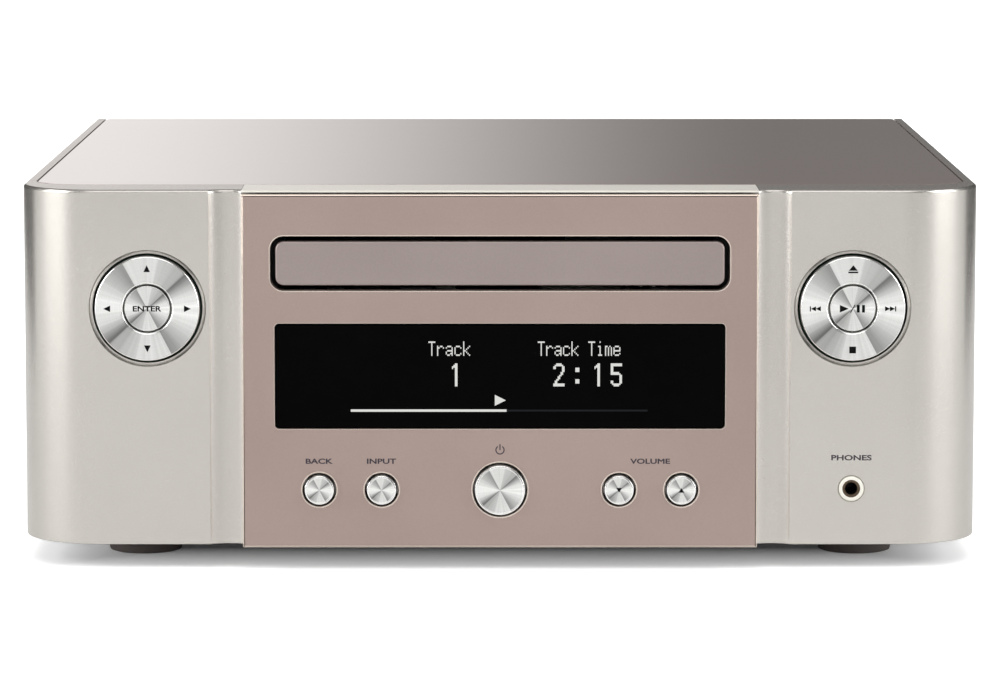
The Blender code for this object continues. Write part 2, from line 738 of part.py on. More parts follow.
def make_centre_panel():
    """Thick centre panel with openings for the tray, the display and five buttons."""
    shape = bmesh.new()
    add_box(shape, (-PANEL_HALF, PANEL_FRONT, PANEL_BOTTOM),
            (PANEL_HALF, PANEL_FRONT + PANEL_THICKNESS, PANEL_TOP - GAP))
    round_edges(shape, lambda p: p.y < PANEL_FRONT + 0.01, PANEL_EDGE, 1)
    panel = solid("centre_panel", shape, TAUPE)
    slot_half = DOOR_HALF + SLOT_GAP
    slot_tall = DOOR_HEIGHT / 2 + SLOT_GAP
    low = PANEL_FRONT - 5
    high = PANEL_FRONT + PANEL_THICKNESS + 5
    slot = rounded_rectangle(-slot_half, slot_half, DOOR_Z - slot_tall, DOOR_Z + slot_tall,
                             DOOR_CORNER + SLOT_GAP)
    cut(panel, "tray_slot", outline_mesh("slot", "Y", [slot], low, high))
    window = rounded_rectangle(-DOOR_HALF - GAP, DOOR_HALF + GAP,
                               WINDOW_Z - WINDOW_HEIGHT / 2 - GAP,
                               WINDOW_Z + WINDOW_HEIGHT / 2 + GAP, 1.3, 2)
    cut(panel, "window", outline_mesh("window_opening", "Y", [window], low, high))
    holes = bmesh.new()
    for _, x, radius, _ in BUTTONS:
        add_cylinder(holes, "Y", (x, BUTTON_Z), radius + BUTTON_GAP, low, high, 24)
    cut(panel, "button_holes", holes)


def make_subframe():
    """Black moulded frame behind the centre panel, with arms reaching behind the wings."""
    half = PANEL_HALF - 0.6
    low = PAN_BOTTOM + SHEET + GAP
    top = LID_TOP - SHEET - GAP - 0.6
    back = BOARD_FRONT - GAP
    frame = box_part("front_subframe", (-half, SUBFRAME_FRONT, low), (half, SUBFRAME_BACK, top),
                     BLACK_PLASTIC)
    arms = bmesh.new()
    reach = SIDE - CORNER_RADIUS - 4
    for z0, z1 in ((top - 5, top), (low, WEB_TOP)):
        add_box(arms, (-half + 1, SUBFRAME_BACK - 1, z0), (half - 1, back, z1))
    join(frame, "webs", arms)
    strips = bmesh.new()
    for z0, z1 in ((top - 4.6, top - 0.4), (low + 0.4, WEB_TOP - 0.4)):
        add_box(strips, (-reach, back - 1.4, z0), (reach, back - 0.1, z1))
    join(frame, "arms", strips)
    openings = bmesh.new()
    slot_half = DOOR_HALF + SLOT_GAP + 0.3
    slot_tall = DOOR_HEIGHT / 2 + SLOT_GAP + 0.3
    far = SUBFRAME_BACK + 0.6
    add_box(openings, (-slot_half, SUBFRAME_FRONT - 3, DOOR_Z - slot_tall),
            (slot_half, far, DOOR_Z + slot_tall))
    add_box(openings, (-DOOR_HALF + 8, SUBFRAME_FRONT - 3, WINDOW_Z - WINDOW_HEIGHT / 2 + 2),
            (DOOR_HALF - 8, far, WINDOW_Z + WINDOW_HEIGHT / 2 - 2))
    for _, x, radius, _ in BUTTONS:
        add_cylinder(openings, "Y", (x, BUTTON_Z), radius + BUTTON_GAP, SUBFRAME_FRONT - 3, far, 16)
    cut(frame, "openings", openings)


def make_rear_panel():
    """Steel rear panel with cut-outs for every socket and a row of vents."""
    half = SIDE - SHELL - GAP
    panel = box_part("rear_panel", (-half, REAR_FACE - SHEET, SKIRT),
                     (half, REAR_FACE, LID_TOP - SHEET - 2 * GAP), BLACK_STEEL)
    low = REAR_FACE - SHEET - 3
    high = REAR_FACE + 3
    holes = bmesh.new()
    wide = INLET_HALF + 1
    tall = INLET_TALL + 1
    add_box(holes, (INLET_X - wide, low, INLET_Z - tall), (INLET_X + wide, high, INLET_Z + tall))
    wide = SPEAKER_PITCH_X / 2 + SPEAKER_MARGIN + 0.5
    tall = SPEAKER_PITCH_Z / 2 + SPEAKER_MARGIN + 0.5
    add_box(holes, (SPEAKER_X - wide, low, SPEAKER_Z - tall),
            (SPEAKER_X + wide, high, SPEAKER_Z + tall))
    for dx in (-RCA_PITCH / 2, RCA_PITCH / 2):
        for dz in (-RCA_PITCH / 2, RCA_PITCH / 2):
            add_cylinder(holes, "Y", (RCA_X + dx, RCA_Z + dz), RCA_RADIUS + 0.65, low, high, 16)
    wide = NETWORK_HALF + 0.4
    tall = NETWORK_TALL + 0.4
    add_box(holes, (NETWORK_X - wide, low, NETWORK_Z - tall),
            (NETWORK_X + wide, high, NETWORK_Z + tall))
    add_cylinder(holes, "Y", (ANTENNA_X, ANTENNA_Z), ANTENNA_RADIUS + 0.6, low, high, 16)
    for index in range(REAR_VENTS):
        x = (index - (REAR_VENTS - 1) / 2) * REAR_VENT_PITCH
        add_box(holes, (x - VENT_HALF, low, HEIGHT - 27), (x + VENT_HALF, high, HEIGHT - 13))
    cut(panel, "holes", holes)


def board_posts():
    """Places of the pressed posts under the power board and the main board."""
    power_x = (-PAN_HALF + 12, -PAN_HALF + 52)
    main_x = (-LOADER_HALF + 8, PAN_HALF - 12)
    places = [(x, y) for x in power_x for y in (WING_BACK + 20, PAN_BACK - 14)]
    places += [(x, y) for x in main_x for y in (LOADER_BACK + 16, PAN_BACK - 14)]
    places.append((PAN_HALF - 12, WING_BACK + 20))
    return places


def make_chassis():
    """Folded steel base pan with flanges, pressed posts and ventilation slots."""
    top = PAN_BOTTOM + SHEET
    pan = box_part("chassis_base", (-PAN_HALF, PAN_FRONT, PAN_BOTTOM),
                   (PAN_HALF, PAN_BACK, PAN_BOTTOM + PAN_FLANGE), STEEL)
    inside = bmesh.new()
    add_box(inside, (-PAN_HALF + SHEET, PAN_FRONT + SHEET, top),
            (PAN_HALF - SHEET, PAN_BACK - SHEET, PAN_BOTTOM + 20))
    cut(pan, "inside", inside)
    corners = bmesh.new()
    reach = CORNER_RADIUS - SHELL
    for side in (-1, 1):
        x0 = side * (PAN_HALF - reach + 6)
        x1 = side * (PAN_HALF + 5)
        add_box(corners, (min(x0, x1), PAN_FRONT - 5, PAN_BOTTOM - 5),
                (max(x0, x1), WING_BACK - 6, PAN_BOTTOM + 20))
    cut(pan, "front_corners", corners)
    posts = bmesh.new()
    for x, y in board_posts():
        add_cylinder(posts, "Z", (x, y), POST_RADIUS, top - 0.6, BOARD_Z - GAP, 8)
    join(pan, "posts", posts)
    slots = bmesh.new()
    for row in (-12.0, 30.0):
        for index in range(BASE_VENTS):
            x = (index - (BASE_VENTS - 1) / 2) * BASE_VENT_PITCH
            add_box(slots, (x - VENT_HALF, row, PAN_BOTTOM - 3),
                    (x + VENT_HALF, row + BASE_VENT_LENGTH, top + 3))
    cut(pan, "vents", slots)


def make_feet():
    """Four moulded two-step feet, each with a recess for its screw."""
    for depth_name, y in (("front", FOOT_FRONT), ("rear", FOOT_REAR)):
        for side_name, side in (("left", -1), ("right", 1)):
            profile = [
                (FOOT_HOLE_RADIUS, FOOT_HOLE_DEPTH), (FOOT_HOLE_RADIUS, 0.0),
                (FOOT_PAD_RADIUS, 0.0),
                (FOOT_PAD_RADIUS, FOOT_PAD_HEIGHT), (FOOT_RADIUS, FOOT_PAD_HEIGHT + 0.5),
                (FOOT_RADIUS, FOOT_HEIGHT), (0, FOOT_HEIGHT), (0, FOOT_HOLE_DEPTH),
            ]
            turned("foot_" + depth_name + "_" + side_name, profile, FOOT_RUBBER, "Z",
                   (side * (SIDE - FOOT_INSET), y), 20)


# ---------------------------------------------------------------------------------------
# Front controls
# ---------------------------------------------------------------------------------------
def make_display():
    """Black window, the display panel behind it and the wide front circuit board."""
    half_tall = WINDOW_HEIGHT / 2
    shape = outline_mesh("display_window", "Y", [rounded_rectangle(
        -DOOR_HALF, DOOR_HALF, WINDOW_Z - half_tall, WINDOW_Z + half_tall, 1.0, 2)],
        PANEL_FRONT + 0.3, PANEL_FRONT + PANEL_THICKNESS)
    solid("display_window", shape, BLACK_WINDOW)
    box_part("display_module", (-DOOR_HALF + 10, SUBFRAME_FRONT + 0.4, WINDOW_Z - half_tall + 3),
             (DOOR_HALF - 10, BOARD_FRONT - GAP, WINDOW_Z + half_tall - 3), BLACK_PLASTIC)


def switch_places():
    """Centres of the tact switches: buttons, ring centres and the four ways of each ring."""
    places = [(x, BUTTON_Z) for _, x, _, _ in BUTTONS]
    reach = RING_RADIUS - PAD_INSET
    for side in (-1, 1):
        x = side * RING_X
        places.append((x, RING_Z))
        places += [(x - reach, RING_Z), (x + reach, RING_Z)]
        places += [(x, RING_Z - reach), (x, RING_Z + reach)]
    return places


def make_front_board():
    """Front circuit board: a low centre strip, two raised ears and the tact switches."""
    reach = RING_X + RING_RADIUS
    low = WEB_TOP - 0.5
    shoulder = DOOR_Z - DOOR_HEIGHT / 2 - 6
    ear = LOADER_HALF + 17
    ear_top = RING_Z + RING_RADIUS + 2
    notch_x = RING_X - 9.5
    notch_z = JACK_Z + 9
    outline = [
        (-reach, low), (notch_x, low), (notch_x, notch_z), (reach, notch_z), (reach, ear_top),
        (ear, ear_top), (ear, shoulder), (-ear, shoulder), (-ear, ear_top), (-reach, ear_top),
    ]
    board = solid("front_board", outline_mesh("front_board", "Y", [outline], BOARD_FRONT,
                                              BOARD_BACK), GREEN_BOARD)
    switches = bmesh.new()
    for x, z in switch_places():
        add_box(switches, (x - SWITCH_HALF, SWITCH_FRONT, z - SWITCH_HALF),
                (x + SWITCH_HALF, BOARD_FRONT + 0.5, z + SWITCH_HALF))
    join(board, "switches", switches)
    posts = bmesh.new()
    for side in (-1, 1):
        for dx in (-CARRIER_MIDDLE, CARRIER_MIDDLE):
            add_cylinder(posts, "Y", (side * RING_X + dx, RING_Z), STUD_RADIUS,
                         CARRIER_BACK + GAP, BOARD_FRONT + 0.5, 12)
    join(board, "carrier_posts", posts)


def make_four_way(ring_name, carrier_name, button_name, side):
    """A tilting four-way ring on its carrier, with a push button in its centre."""
    x = side * RING_X
    tip = WING_FRONT - RING_STAND_OUT
    inner = ENTER_RADIUS + ENTER_GAP
    ring = turned(ring_name, [
        (inner + 0.25, tip + 0.75), (RING_RADIUS - 0.3, tip), (RING_RADIUS, tip + 0.3),
        (RING_RADIUS, RING_BACK), (inner, RING_BACK),
        (inner, tip + 1.0),
    ], SPUN_METAL, "Y", (x, RING_Z), 36, -RING_PIVOT_Y)
    pads = bmesh.new()
    reach = RING_RADIUS - PAD_INSET
    for dx, dz in ((-reach, 0), (reach, 0), (0, -reach), (0, reach)):
        add_box(pads, (x + dx - PAD_HALF, RING_BACK - 0.5, RING_Z + dz - PAD_HALF),
                (x + dx + PAD_HALF, SWITCH_FRONT - PAD_GAP, RING_Z + dz + PAD_HALF))
    join(ring, "pads", pads)
    studs = bmesh.new()
    for dz in (-CARRIER_MIDDLE, CARRIER_MIDDLE):
        add_cylinder(studs, "Y", (x, RING_Z + dz), STUD_RADIUS, RING_BACK - 0.5,
                     CARRIER_FRONT - GAP, 12)
    join(ring, "studs", studs)

    turned(carrier_name, [
        (CARRIER_INNER, CARRIER_FRONT), (CARRIER_OUTER, CARRIER_FRONT),
        (CARRIER_OUTER, CARRIER_BACK), (CARRIER_INNER, CARRIER_BACK),
    ], BLACK_PLASTIC, "Y", (x, RING_Z), 20, -RING_PIVOT_Y)

    flange = RING_BACK + 0.6
    turned(button_name, [
        (0, tip + 0.6), (ENTER_RADIUS - 0.5, tip + 0.35), (ENTER_RADIUS, tip + 0.7),
        (ENTER_RADIUS, flange), (ENTER_RADIUS + 1.0, flange),
        (ENTER_RADIUS + 1.0, flange + FLANGE), (STEM_RADIUS, flange + FLANGE),
        (STEM_RADIUS, SWITCH_FRONT - PRESS - GAP), (0, SWITCH_FRONT - PRESS - GAP),
    ], SPUN_METAL, "Y", (x, RING_Z), 20, -flange)


def make_buttons():
    """The five push buttons of the centre panel."""
    flange = SUBFRAME_BACK + GAP
    stem = SWITCH_FRONT - PRESS - GAP
    for name, x, radius, stand_out in BUTTONS:
        tip = PANEL_FRONT - stand_out
        turned(name, [
            (0, tip + 0.3), (radius - 0.5, tip), (radius, tip + 0.4), (radius, flange),
            (radius + FLANGE_RIM, flange), (radius + FLANGE_RIM, flange + FLANGE),
            (STEM_RADIUS, flange + FLANGE), (STEM_RADIUS, stem), (0, stem),
        ], SPUN_METAL, "Y", (x, BUTTON_Z), 16, -PANEL_FRONT)


def make_phones_jack():
    """Headphone socket with its front ring and a stepped bore."""
    tip = WING_FRONT - 0.5
    body_front = WING_FRONT + SHELL + GAP
    half_wide, deep, half_tall = JACK_BODY
    body_back = body_front + deep
    jack = turned("phones_jack", [
        (JACK_LIP, tip), (JACK_RADIUS - 0.2, tip), (JACK_RADIUS, tip + 0.2),
        (JACK_RADIUS, body_front + 0.5), (0, body_front + 0.5), (0, tip + 1.0),
        (JACK_LIP, tip + 1.0),
    ], SPUN_METAL, "Y", (RING_X, JACK_Z), 20)
    body = bmesh.new()
    add_box(body, (RING_X - half_wide, body_front, JACK_Z - half_tall),
            (RING_X + half_wide, body_back, JACK_Z + half_tall))
    join(jack, "body", body)
    bore = bmesh.new()
    add_cylinder(bore, "Y", (RING_X, JACK_Z), JACK_HOLE, tip - 2, body_back - 1.5, 16)
    cut(jack, "bore", bore)


# ---------------------------------------------------------------------------------------
# Disc loader
# ---------------------------------------------------------------------------------------
def make_loader_chassis():
    """Moulded loader frame: side walls, tray ledges, gear platform, floor rails and legs."""
    wall_in = LOADER_HALF - LOADER_WALL
    frame = box_part("loader_chassis", (-wall_in - 0.5, LOADER_FRONT, PLATFORM_TOP - PLATFORM),
                     (wall_in + 0.5, GEAR_Y + WHEEL_RADIUS - 0.5, PLATFORM_TOP), BLACK_PLASTIC)
    walls = bmesh.new()
    for side in (-1, 1):
        x0, x1 = sorted((side * wall_in, side * LOADER_HALF))
        add_box(walls, (x0, LOADER_FRONT - 0.2, LOADER_BOTTOM), (x1, LOADER_BACK, LOADER_TOP))
    join(frame, "walls", walls)
    ledges = bmesh.new()
    for side in (-1, 1):
        x0, x1 = sorted((side * (TRAY_HALF - 3.0), side * (wall_in + 0.6)))
        add_box(ledges, (x0, LOADER_FRONT + 0.2, LEDGE_TOP - 2.3), (x1, LOADER_BACK - 2, LEDGE_TOP))
        x0, x1 = sorted((side * (TRAY_HALF - 1.5), side * (wall_in + 0.6)))
        add_box(ledges, (x0, LOADER_FRONT + 0.2, TRAY_TOP + 0.5),
                (x1, LOADER_FRONT + 30, TRAY_TOP + 2.3))
    join(frame, "ledges", ledges)
    floor = bmesh.new()
    floor_top = LOADER_BOTTOM + LOADER_FLOOR
    add_box(floor, (-wall_in - 0.7, LOADER_BACK - 12, LOADER_BOTTOM + 0.1),
            (wall_in + 0.7, LOADER_BACK - 0.3, floor_top))
    join(frame, "rear_floor", floor)
    lugs = bmesh.new()
    for x0, x1 in ((TRAVERSE_LEFT - 7, TRAVERSE_LEFT - 4), (TRAVERSE_RIGHT + 4, TRAVERSE_RIGHT + 7)):
        add_box(lugs, (x0, PIVOT_Y - 5, floor_top - 1), (x1, LOADER_BACK - 4, PIVOT_Z + 5))
    join(frame, "pivot_lugs", lugs)
    legs = bmesh.new()
    for side in (-1, 1):
        x0, x1 = sorted((side * (LOADER_HALF - 8), side * (LOADER_HALF - 0.4)))
        for y in (LOADER_FRONT + 3, LOADER_BACK - 9):
            add_box(legs, (x0, y, PAN_BOTTOM + SHEET + GAP), (x1, y + 8, LOADER_BOTTOM + 1.2))
    join(frame, "legs", legs)
    axles = bmesh.new()
    for x in (TRAY_GEAR_X, LOADING_GEAR_X):
        add_cylinder(axles, "Z", (x, GEAR_Y), AXLE_RADIUS, PLATFORM_TOP - 0.8, TRAY_BOTTOM - 1.2, 16)
    join(frame, "axles", axles)
    holes = bmesh.new()
    add_cylinder(holes, "X", (PIVOT_Y, PIVOT_Z), PIVOT_RADIUS + GAP, TRAVERSE_LEFT - 9,
                 TRAVERSE_LEFT - 2, 20)
    add_cylinder(holes, "X", (PIVOT_Y, PIVOT_Z), PIVOT_RADIUS + GAP, TRAVERSE_RIGHT + 2,
                 TRAVERSE_RIGHT + 9, 20)
    add_cylinder(holes, "Z", (MOTOR_X, GEAR_Y), 2.5, PLATFORM_TOP - 6, PLATFORM_TOP + 4, 20)
    cut(frame, "holes", holes)


def make_tray():
    """Disc tray with its recess, pickup slot, side rails and drive rack, and the tray door."""
    origin = (0, TRAY_FRONT, TRAY_TOP)
    tray = box_part("disc_tray", (-TRAY_HALF, TRAY_FRONT + GAP, TRAY_BOTTOM),
                    (TRAY_HALF, TRAY_BACK, TRAY_TOP), BLACK_PLASTIC, origin)
    rails = bmesh.new()
    for side in (-1, 1):
        x0, x1 = sorted((side * (TRAY_HALF - TRAY_RAIL), side * (TRAY_HALF - 0.1)))
        add_box(rails, (x0, TRAY_FRONT + 6, RAIL_BOTTOM), (x1, TRAY_BACK - 0.2, TRAY_BOTTOM + 1))
    join(tray, "rails", rails)
    beam = bmesh.new()
    add_box(beam, (-TRAY_HALF + 6, TRAY_FRONT + GAP + 0.1, TRAY_TOP - RACK_DROP),
            (TRAY_HALF - 6, TRAY_FRONT + 4.4, TRAY_BOTTOM + 1))
    join(tray, "front_beam", beam)
    rack = rack_outline(RACK_X, RACK_X + RACK_WIDTH, TRAY_FRONT + 14, TRAY_BACK - 0.4, MODULE,
                        GEAR_Y)
    join(tray, "rack", outline_mesh("rack", "Z", [rack], TRAY_TOP - RACK_DROP, TRAY_BOTTOM + 0.6))
    recess = bmesh.new()
    add_cylinder(recess, "Z", (0, SPINDLE_Y), RECESS_RADIUS, TRAY_TOP - RECESS_DEPTH,
                 TRAY_TOP + 5, 48)
    cut(tray, "disc_recess", recess)
    small = bmesh.new()
    add_cylinder(small, "Z", (0, SPINDLE_Y), SMALL_RECESS_RADIUS, TRAY_TOP - SMALL_RECESS_DEPTH,
                 TRAY_TOP + 5, 40)
    cut(tray, "small_disc_recess", small)
    slot = arc(0, SPINDLE_Y, SLOT_HALF, 180, 360, 12)
    slot += [(SLOT_HALF, TRAY_BACK + 5), (-SLOT_HALF, TRAY_BACK + 5)]
    cut(tray, "pickup_slot", outline_mesh("pickup_slot", "Z", [slot], TRAY_TOP - 12, TRAY_TOP + 5))

    half_tall = DOOR_HEIGHT / 2
    outline = rounded_rectangle(-DOOR_HALF, DOOR_HALF, DOOR_Z - half_tall, DOOR_Z + half_tall,
                                DOOR_CORNER)
    shape = outline_mesh("tray_door", "Y", [outline], PANEL_FRONT, PANEL_FRONT + DOOR_THICKNESS)
    round_edges(shape, lambda p: p.y < PANEL_FRONT + 0.01, 0.6, 1)
    solid("tray_door", shape, MAUVE, origin)


def make_clamp():
    """Bridge over the tray and the floating clamper that hangs in it."""
    low = LOADER_TOP + GAP
    top = low + 2.0
    bridge = box_part("clamp_bridge", (-LOADER_HALF, SPINDLE_Y - BRIDGE_HALF, low),
                      (LOADER_HALF, SPINDLE_Y + BRIDGE_HALF, top), STEEL)
    hole = bmesh.new()
    add_cylinder(hole, "Z", (0, SPINDLE_Y), CLAMPER_NECK + 0.9, low - 5, top + 5, 28)
    cut(bridge, "clamper_hole", hole)
    neck_top = top + GAP
    disc_top = CLAMPER_BOTTOM + 2.4
    turned("clamper", [
        (0, neck_top + 1.4), (CLAMPER_NECK + 3.0, neck_top + 1.4), (CLAMPER_NECK + 3.0, neck_top),
        (CLAMPER_NECK, neck_top), (CLAMPER_NECK, disc_top), (TURNTABLE_RADIUS, disc_top),
        (TURNTABLE_RADIUS, CLAMPER_BOTTOM),
        (CLAMPER_HOLLOW, CLAMPER_BOTTOM), (CLAMPER_HOLLOW, CLAMPER_BOTTOM + 1.9),
        (0, CLAMPER_BOTTOM + 1.9),
    ], BLACK_PLASTIC, "Z", (0, SPINDLE_Y), 28, CLAMPER_BOTTOM)


def make_loading_drive():
    """Loading motor, belt, belt wheel and tray gear in the front of the loader."""
    wheel_top = TRAY_TOP - 8.8
    wheel_low = wheel_top - 3.0
    origin = (TRAY_GEAR_X, GEAR_Y, wheel_low)
    half_pitch = 180.0 / RACK_PINION_TEETH
    wheel = solid("tray_gear", outline_mesh("tray_gear", "Z", [gear_outline(
        WHEEL_TEETH, MODULE, 0, (TRAY_GEAR_X, GEAR_Y))], wheel_low, wheel_top), WHITE_NYLON, origin)
    pinion = gear_outline(RACK_PINION_TEETH, MODULE, half_pitch, (TRAY_GEAR_X, GEAR_Y))
    join(wheel, "pinion", outline_mesh("rack_pinion", "Z", [pinion], wheel_top - 0.5,
                                       TRAY_BOTTOM - 0.6))
    bore = bmesh.new()
    add_cylinder(bore, "Z", (TRAY_GEAR_X, GEAR_Y), AXLE_RADIUS + GAP, wheel_low - 5, TRAY_TOP, 20)
    cut(wheel, "bore", bore)

    belt_z = PLATFORM_TOP + 3.3
    flange = PULLEY_GROOVE + 1.4
    origin = (LOADING_GEAR_X, GEAR_Y, belt_z)
    pulley = turned("loading_gear", [
        (AXLE_RADIUS + GAP, belt_z + 1.9), (flange, belt_z + 1.9), (PULLEY_GROOVE, belt_z + 0.9),
        (PULLEY_GROOVE, belt_z - 0.9), (flange, belt_z - 1.9), (AXLE_RADIUS + GAP, belt_z - 1.9),
    ], WHITE_NYLON, "Z", (LOADING_GEAR_X, GEAR_Y), 24, belt_z)
    half_pitch = 180.0 / LOADING_PINION_TEETH
    pinion = gear_outline(LOADING_PINION_TEETH, MODULE, half_pitch, (LOADING_GEAR_X, GEAR_Y))
    hub = arc(LOADING_GEAR_X, GEAR_Y, AXLE_RADIUS + GAP, 0, 342, 19)
    join(pulley, "pinion", outline_mesh("loading_pinion", "Z", [pinion, hub], belt_z + 1.4,
                                        wheel_top + 0.2))

    shaft_low = PLATFORM_TOP - PLATFORM + 0.1
    turned("motor_pulley", [
        (0, belt_z + 1.9), (MOTOR_GROOVE + 1.2, belt_z + 1.9), (MOTOR_GROOVE, belt_z + 0.9),
        (MOTOR_GROOVE, belt_z - 0.9), (MOTOR_GROOVE + 1.2, belt_z - 1.9), (1.0, belt_z - 1.9),
        (1.0, shaft_low), (0, shaft_low),
    ], WHITE_NYLON, "Z", (MOTOR_X, GEAR_Y), 16, belt_z)

    solid("loading_belt", outline_mesh("loading_belt", "Z", belt_loops(), belt_z - 0.6,
                                       belt_z + 0.6), BELT_RUBBER)
    motor_top = PLATFORM_TOP - PLATFORM - GAP
    turned("loading_motor", [
        (0, motor_top), (MOTOR_RADIUS, motor_top), (MOTOR_RADIUS, motor_top - MOTOR_LENGTH),
        (0, motor_top - MOTOR_LENGTH),
    ], STEEL, "Z", (MOTOR_X, GEAR_Y), 24)


def belt_loops():
    """Outer and inner outline of the belt round its two pulleys."""
    loops = []
    distance = LOADING_GEAR_X - MOTOR_X
    for extra in (GAP + BELT, GAP):
        big = PULLEY_GROOVE + extra
        small = MOTOR_GROOVE + extra
        tilt = math.degrees(math.acos((big - small) / distance))
        loop = arc(LOADING_GEAR_X, GEAR_Y, big, tilt - 180, 180 - tilt, 16)
        loop += arc(MOTOR_X, GEAR_Y, small, 180 - tilt, 180 + tilt, 8)
        loops.append(loop)
    return loops


def make_traverse():
    """Tilting traverse: frame, spindle motor, turntable, guide rod, sled and sled drive."""
    top = TRAVERSE_TOP
    low = top - TRAVERSE_PLATE
    origin = (0, PIVOT_Y, PIVOT_Z)
    frame = box_part("traverse_frame", (TRAVERSE_LEFT, TRAVERSE_FRONT, low),
                     (TRAVERSE_RIGHT, TRAVERSE_REAR, top), BLACK_PLASTIC, origin)
    sides = bmesh.new()
    add_box(sides, (TRAVERSE_LEFT + 0.1, SLED_GEAR_Y - 12, low - 8.6),
            (TRAVERSE_LEFT + 2, SLED_GEAR_Y + 12, low + 1))
    for x0, x1 in ((TRAVERSE_LEFT + 0.1, TRAVERSE_LEFT + 3), (TRAVERSE_RIGHT - 3, TRAVERSE_RIGHT - 0.1)):
        add_box(sides, (x0, PIVOT_Y - 4, PIVOT_Z - 3.4), (x1, TRAVERSE_REAR - 0.2, low + 1))
    for y0, y1 in ((SPINDLE_Y + 4.0, SPINDLE_Y + 8.0), (SPINDLE_Y + 80.5, SPINDLE_Y + 84.5)):
        add_box(sides, (ROD_X - 3, y0, ROD_Z - 2.8), (ROD_X + 3, y1, low + 1))
    join(frame, "sides", sides)
    extras = bmesh.new()
    add_box(extras, (TRAVERSE_LEFT + 1, SLED_GEAR_Y - 11.8, low - 8.5),
            (SLED_RACK_X - 2, SLED_GEAR_Y + 11.8, low - 6.5))
    add_cylinder(extras, "X", (PIVOT_Y, PIVOT_Z), PIVOT_RADIUS, TRAVERSE_LEFT - 5.5,
                 TRAVERSE_LEFT + 2, 16)
    add_cylinder(extras, "X", (PIVOT_Y, PIVOT_Z), PIVOT_RADIUS, TRAVERSE_RIGHT - 2,
                 TRAVERSE_RIGHT + 5.5, 16)
    join(frame, "shelf_and_pins", extras)
    holes = bmesh.new()
    add_box(holes, (SLED_RACK_X - 1.4, SPINDLE_Y + 8.0, low - 1), (RAIL_X, SPINDLE_Y + 82, top + 1))
    cut(frame, "sled_opening", holes)
    bores = bmesh.new()
    add_cylinder(bores, "Z", (0, SPINDLE_Y), 3.0, low - 3, top + 3, 24)
    add_cylinder(bores, "Z", (SLED_GEAR_X, SLED_GEAR_Y), 1.4, low - 12, low - 5, 16)
    add_cylinder(bores, "Y", (ROD_X, ROD_Z), ROD_RADIUS + GAP, SPINDLE_Y - 2, SPINDLE_Y + 90, 20)
    cut(frame, "bores", bores)

    motor_top = low - GAP
    turned("spindle_motor", [
        (0, motor_top), (SPINDLE_MOTOR_RADIUS, motor_top),
        (SPINDLE_MOTOR_RADIUS, motor_top - SPINDLE_MOTOR_LENGTH),
        (0, motor_top - SPINDLE_MOTOR_LENGTH),
    ], STEEL, "Z", (0, SPINDLE_Y), 24)
    turned("turntable", [
        (0, TURNTABLE_TOP + HUB_HEIGHT), (HUB_RADIUS - 0.9, TURNTABLE_TOP + HUB_HEIGHT),
        (HUB_RADIUS, TURNTABLE_TOP),
        (TURNTABLE_RADIUS, TURNTABLE_TOP),
        (TURNTABLE_RADIUS, TURNTABLE_TOP - 1.8), (5.0, TURNTABLE_TOP - 2.4), (5.0, top + 0.5),
        (1.0, top + 0.5), (1.0, low), (0, low),
    ], BLACK_PLASTIC, "Z", (0, SPINDLE_Y), 28, TURNTABLE_TOP)
    rod = bmesh.new()
    add_cylinder(rod, "Y", (ROD_X, ROD_Z), ROD_RADIUS, SPINDLE_Y + 4.2, SPINDLE_Y + 84.3, 16)
    solid("guide_rod", rod, STEEL)

    origin = (0, LENS_Y, ROD_Z)
    sled = box_part("pickup_sled", (ROD_X + 4.5, LENS_Y - 9, low - 5.6),
                    (RAIL_X - GAP, LENS_Y + 9, low - GAP), GREY_PLASTIC, origin)
    pieces = bmesh.new()
    add_box(pieces, (SLED_RACK_X + ROOT * SLED_MODULE + 0.2, LENS_Y - 14, ROD_Z - 2.6),
            (ROD_X + 5, LENS_Y + 14, low - GAP - 0.1))
    add_box(pieces, (-10, LENS_Y - 8.8, low - 1), (10, LENS_Y + 8.8, TRAY_TOP - 2.2))
    add_box(pieces, (RAIL_X - 5, LENS_Y - 8, low - 2.4), (RAIL_X + 4, LENS_Y + 8, low - 0.4))
    add_box(pieces, (RAIL_X - 4.6, LENS_Y - 8.4, low - 1), (RAIL_X - 0.4, LENS_Y + 8.4, top + 1.4))
    join(sled, "body", pieces)
    more = bmesh.new()
    add_box(more, (RAIL_X - 3, LENS_Y - 7, top + GAP), (RAIL_X + 4, LENS_Y + 7, top + 1.3))
    add_cylinder(more, "Z", (0, LENS_Y), 3.6, TRAY_TOP - 3, TRAY_TOP - 1.0, 20)
    join(sled, "fork_and_lens", more)
    rack = rack_outline(SLED_RACK_X, SLED_RACK_X + 2.2, LENS_Y - 19, LENS_Y + 19, SLED_MODULE,
                        SLED_GEAR_Y)
    join(sled, "rack", outline_mesh("sled_rack", "Z", [rack], low - 4.0, low - GAP - 0.2))
    bore = bmesh.new()
    add_cylinder(bore, "Y", (ROD_X, ROD_Z), ROD_RADIUS + GAP, LENS_Y - 20, LENS_Y + 20, 20)
    cut(sled, "rod_bore", bore)

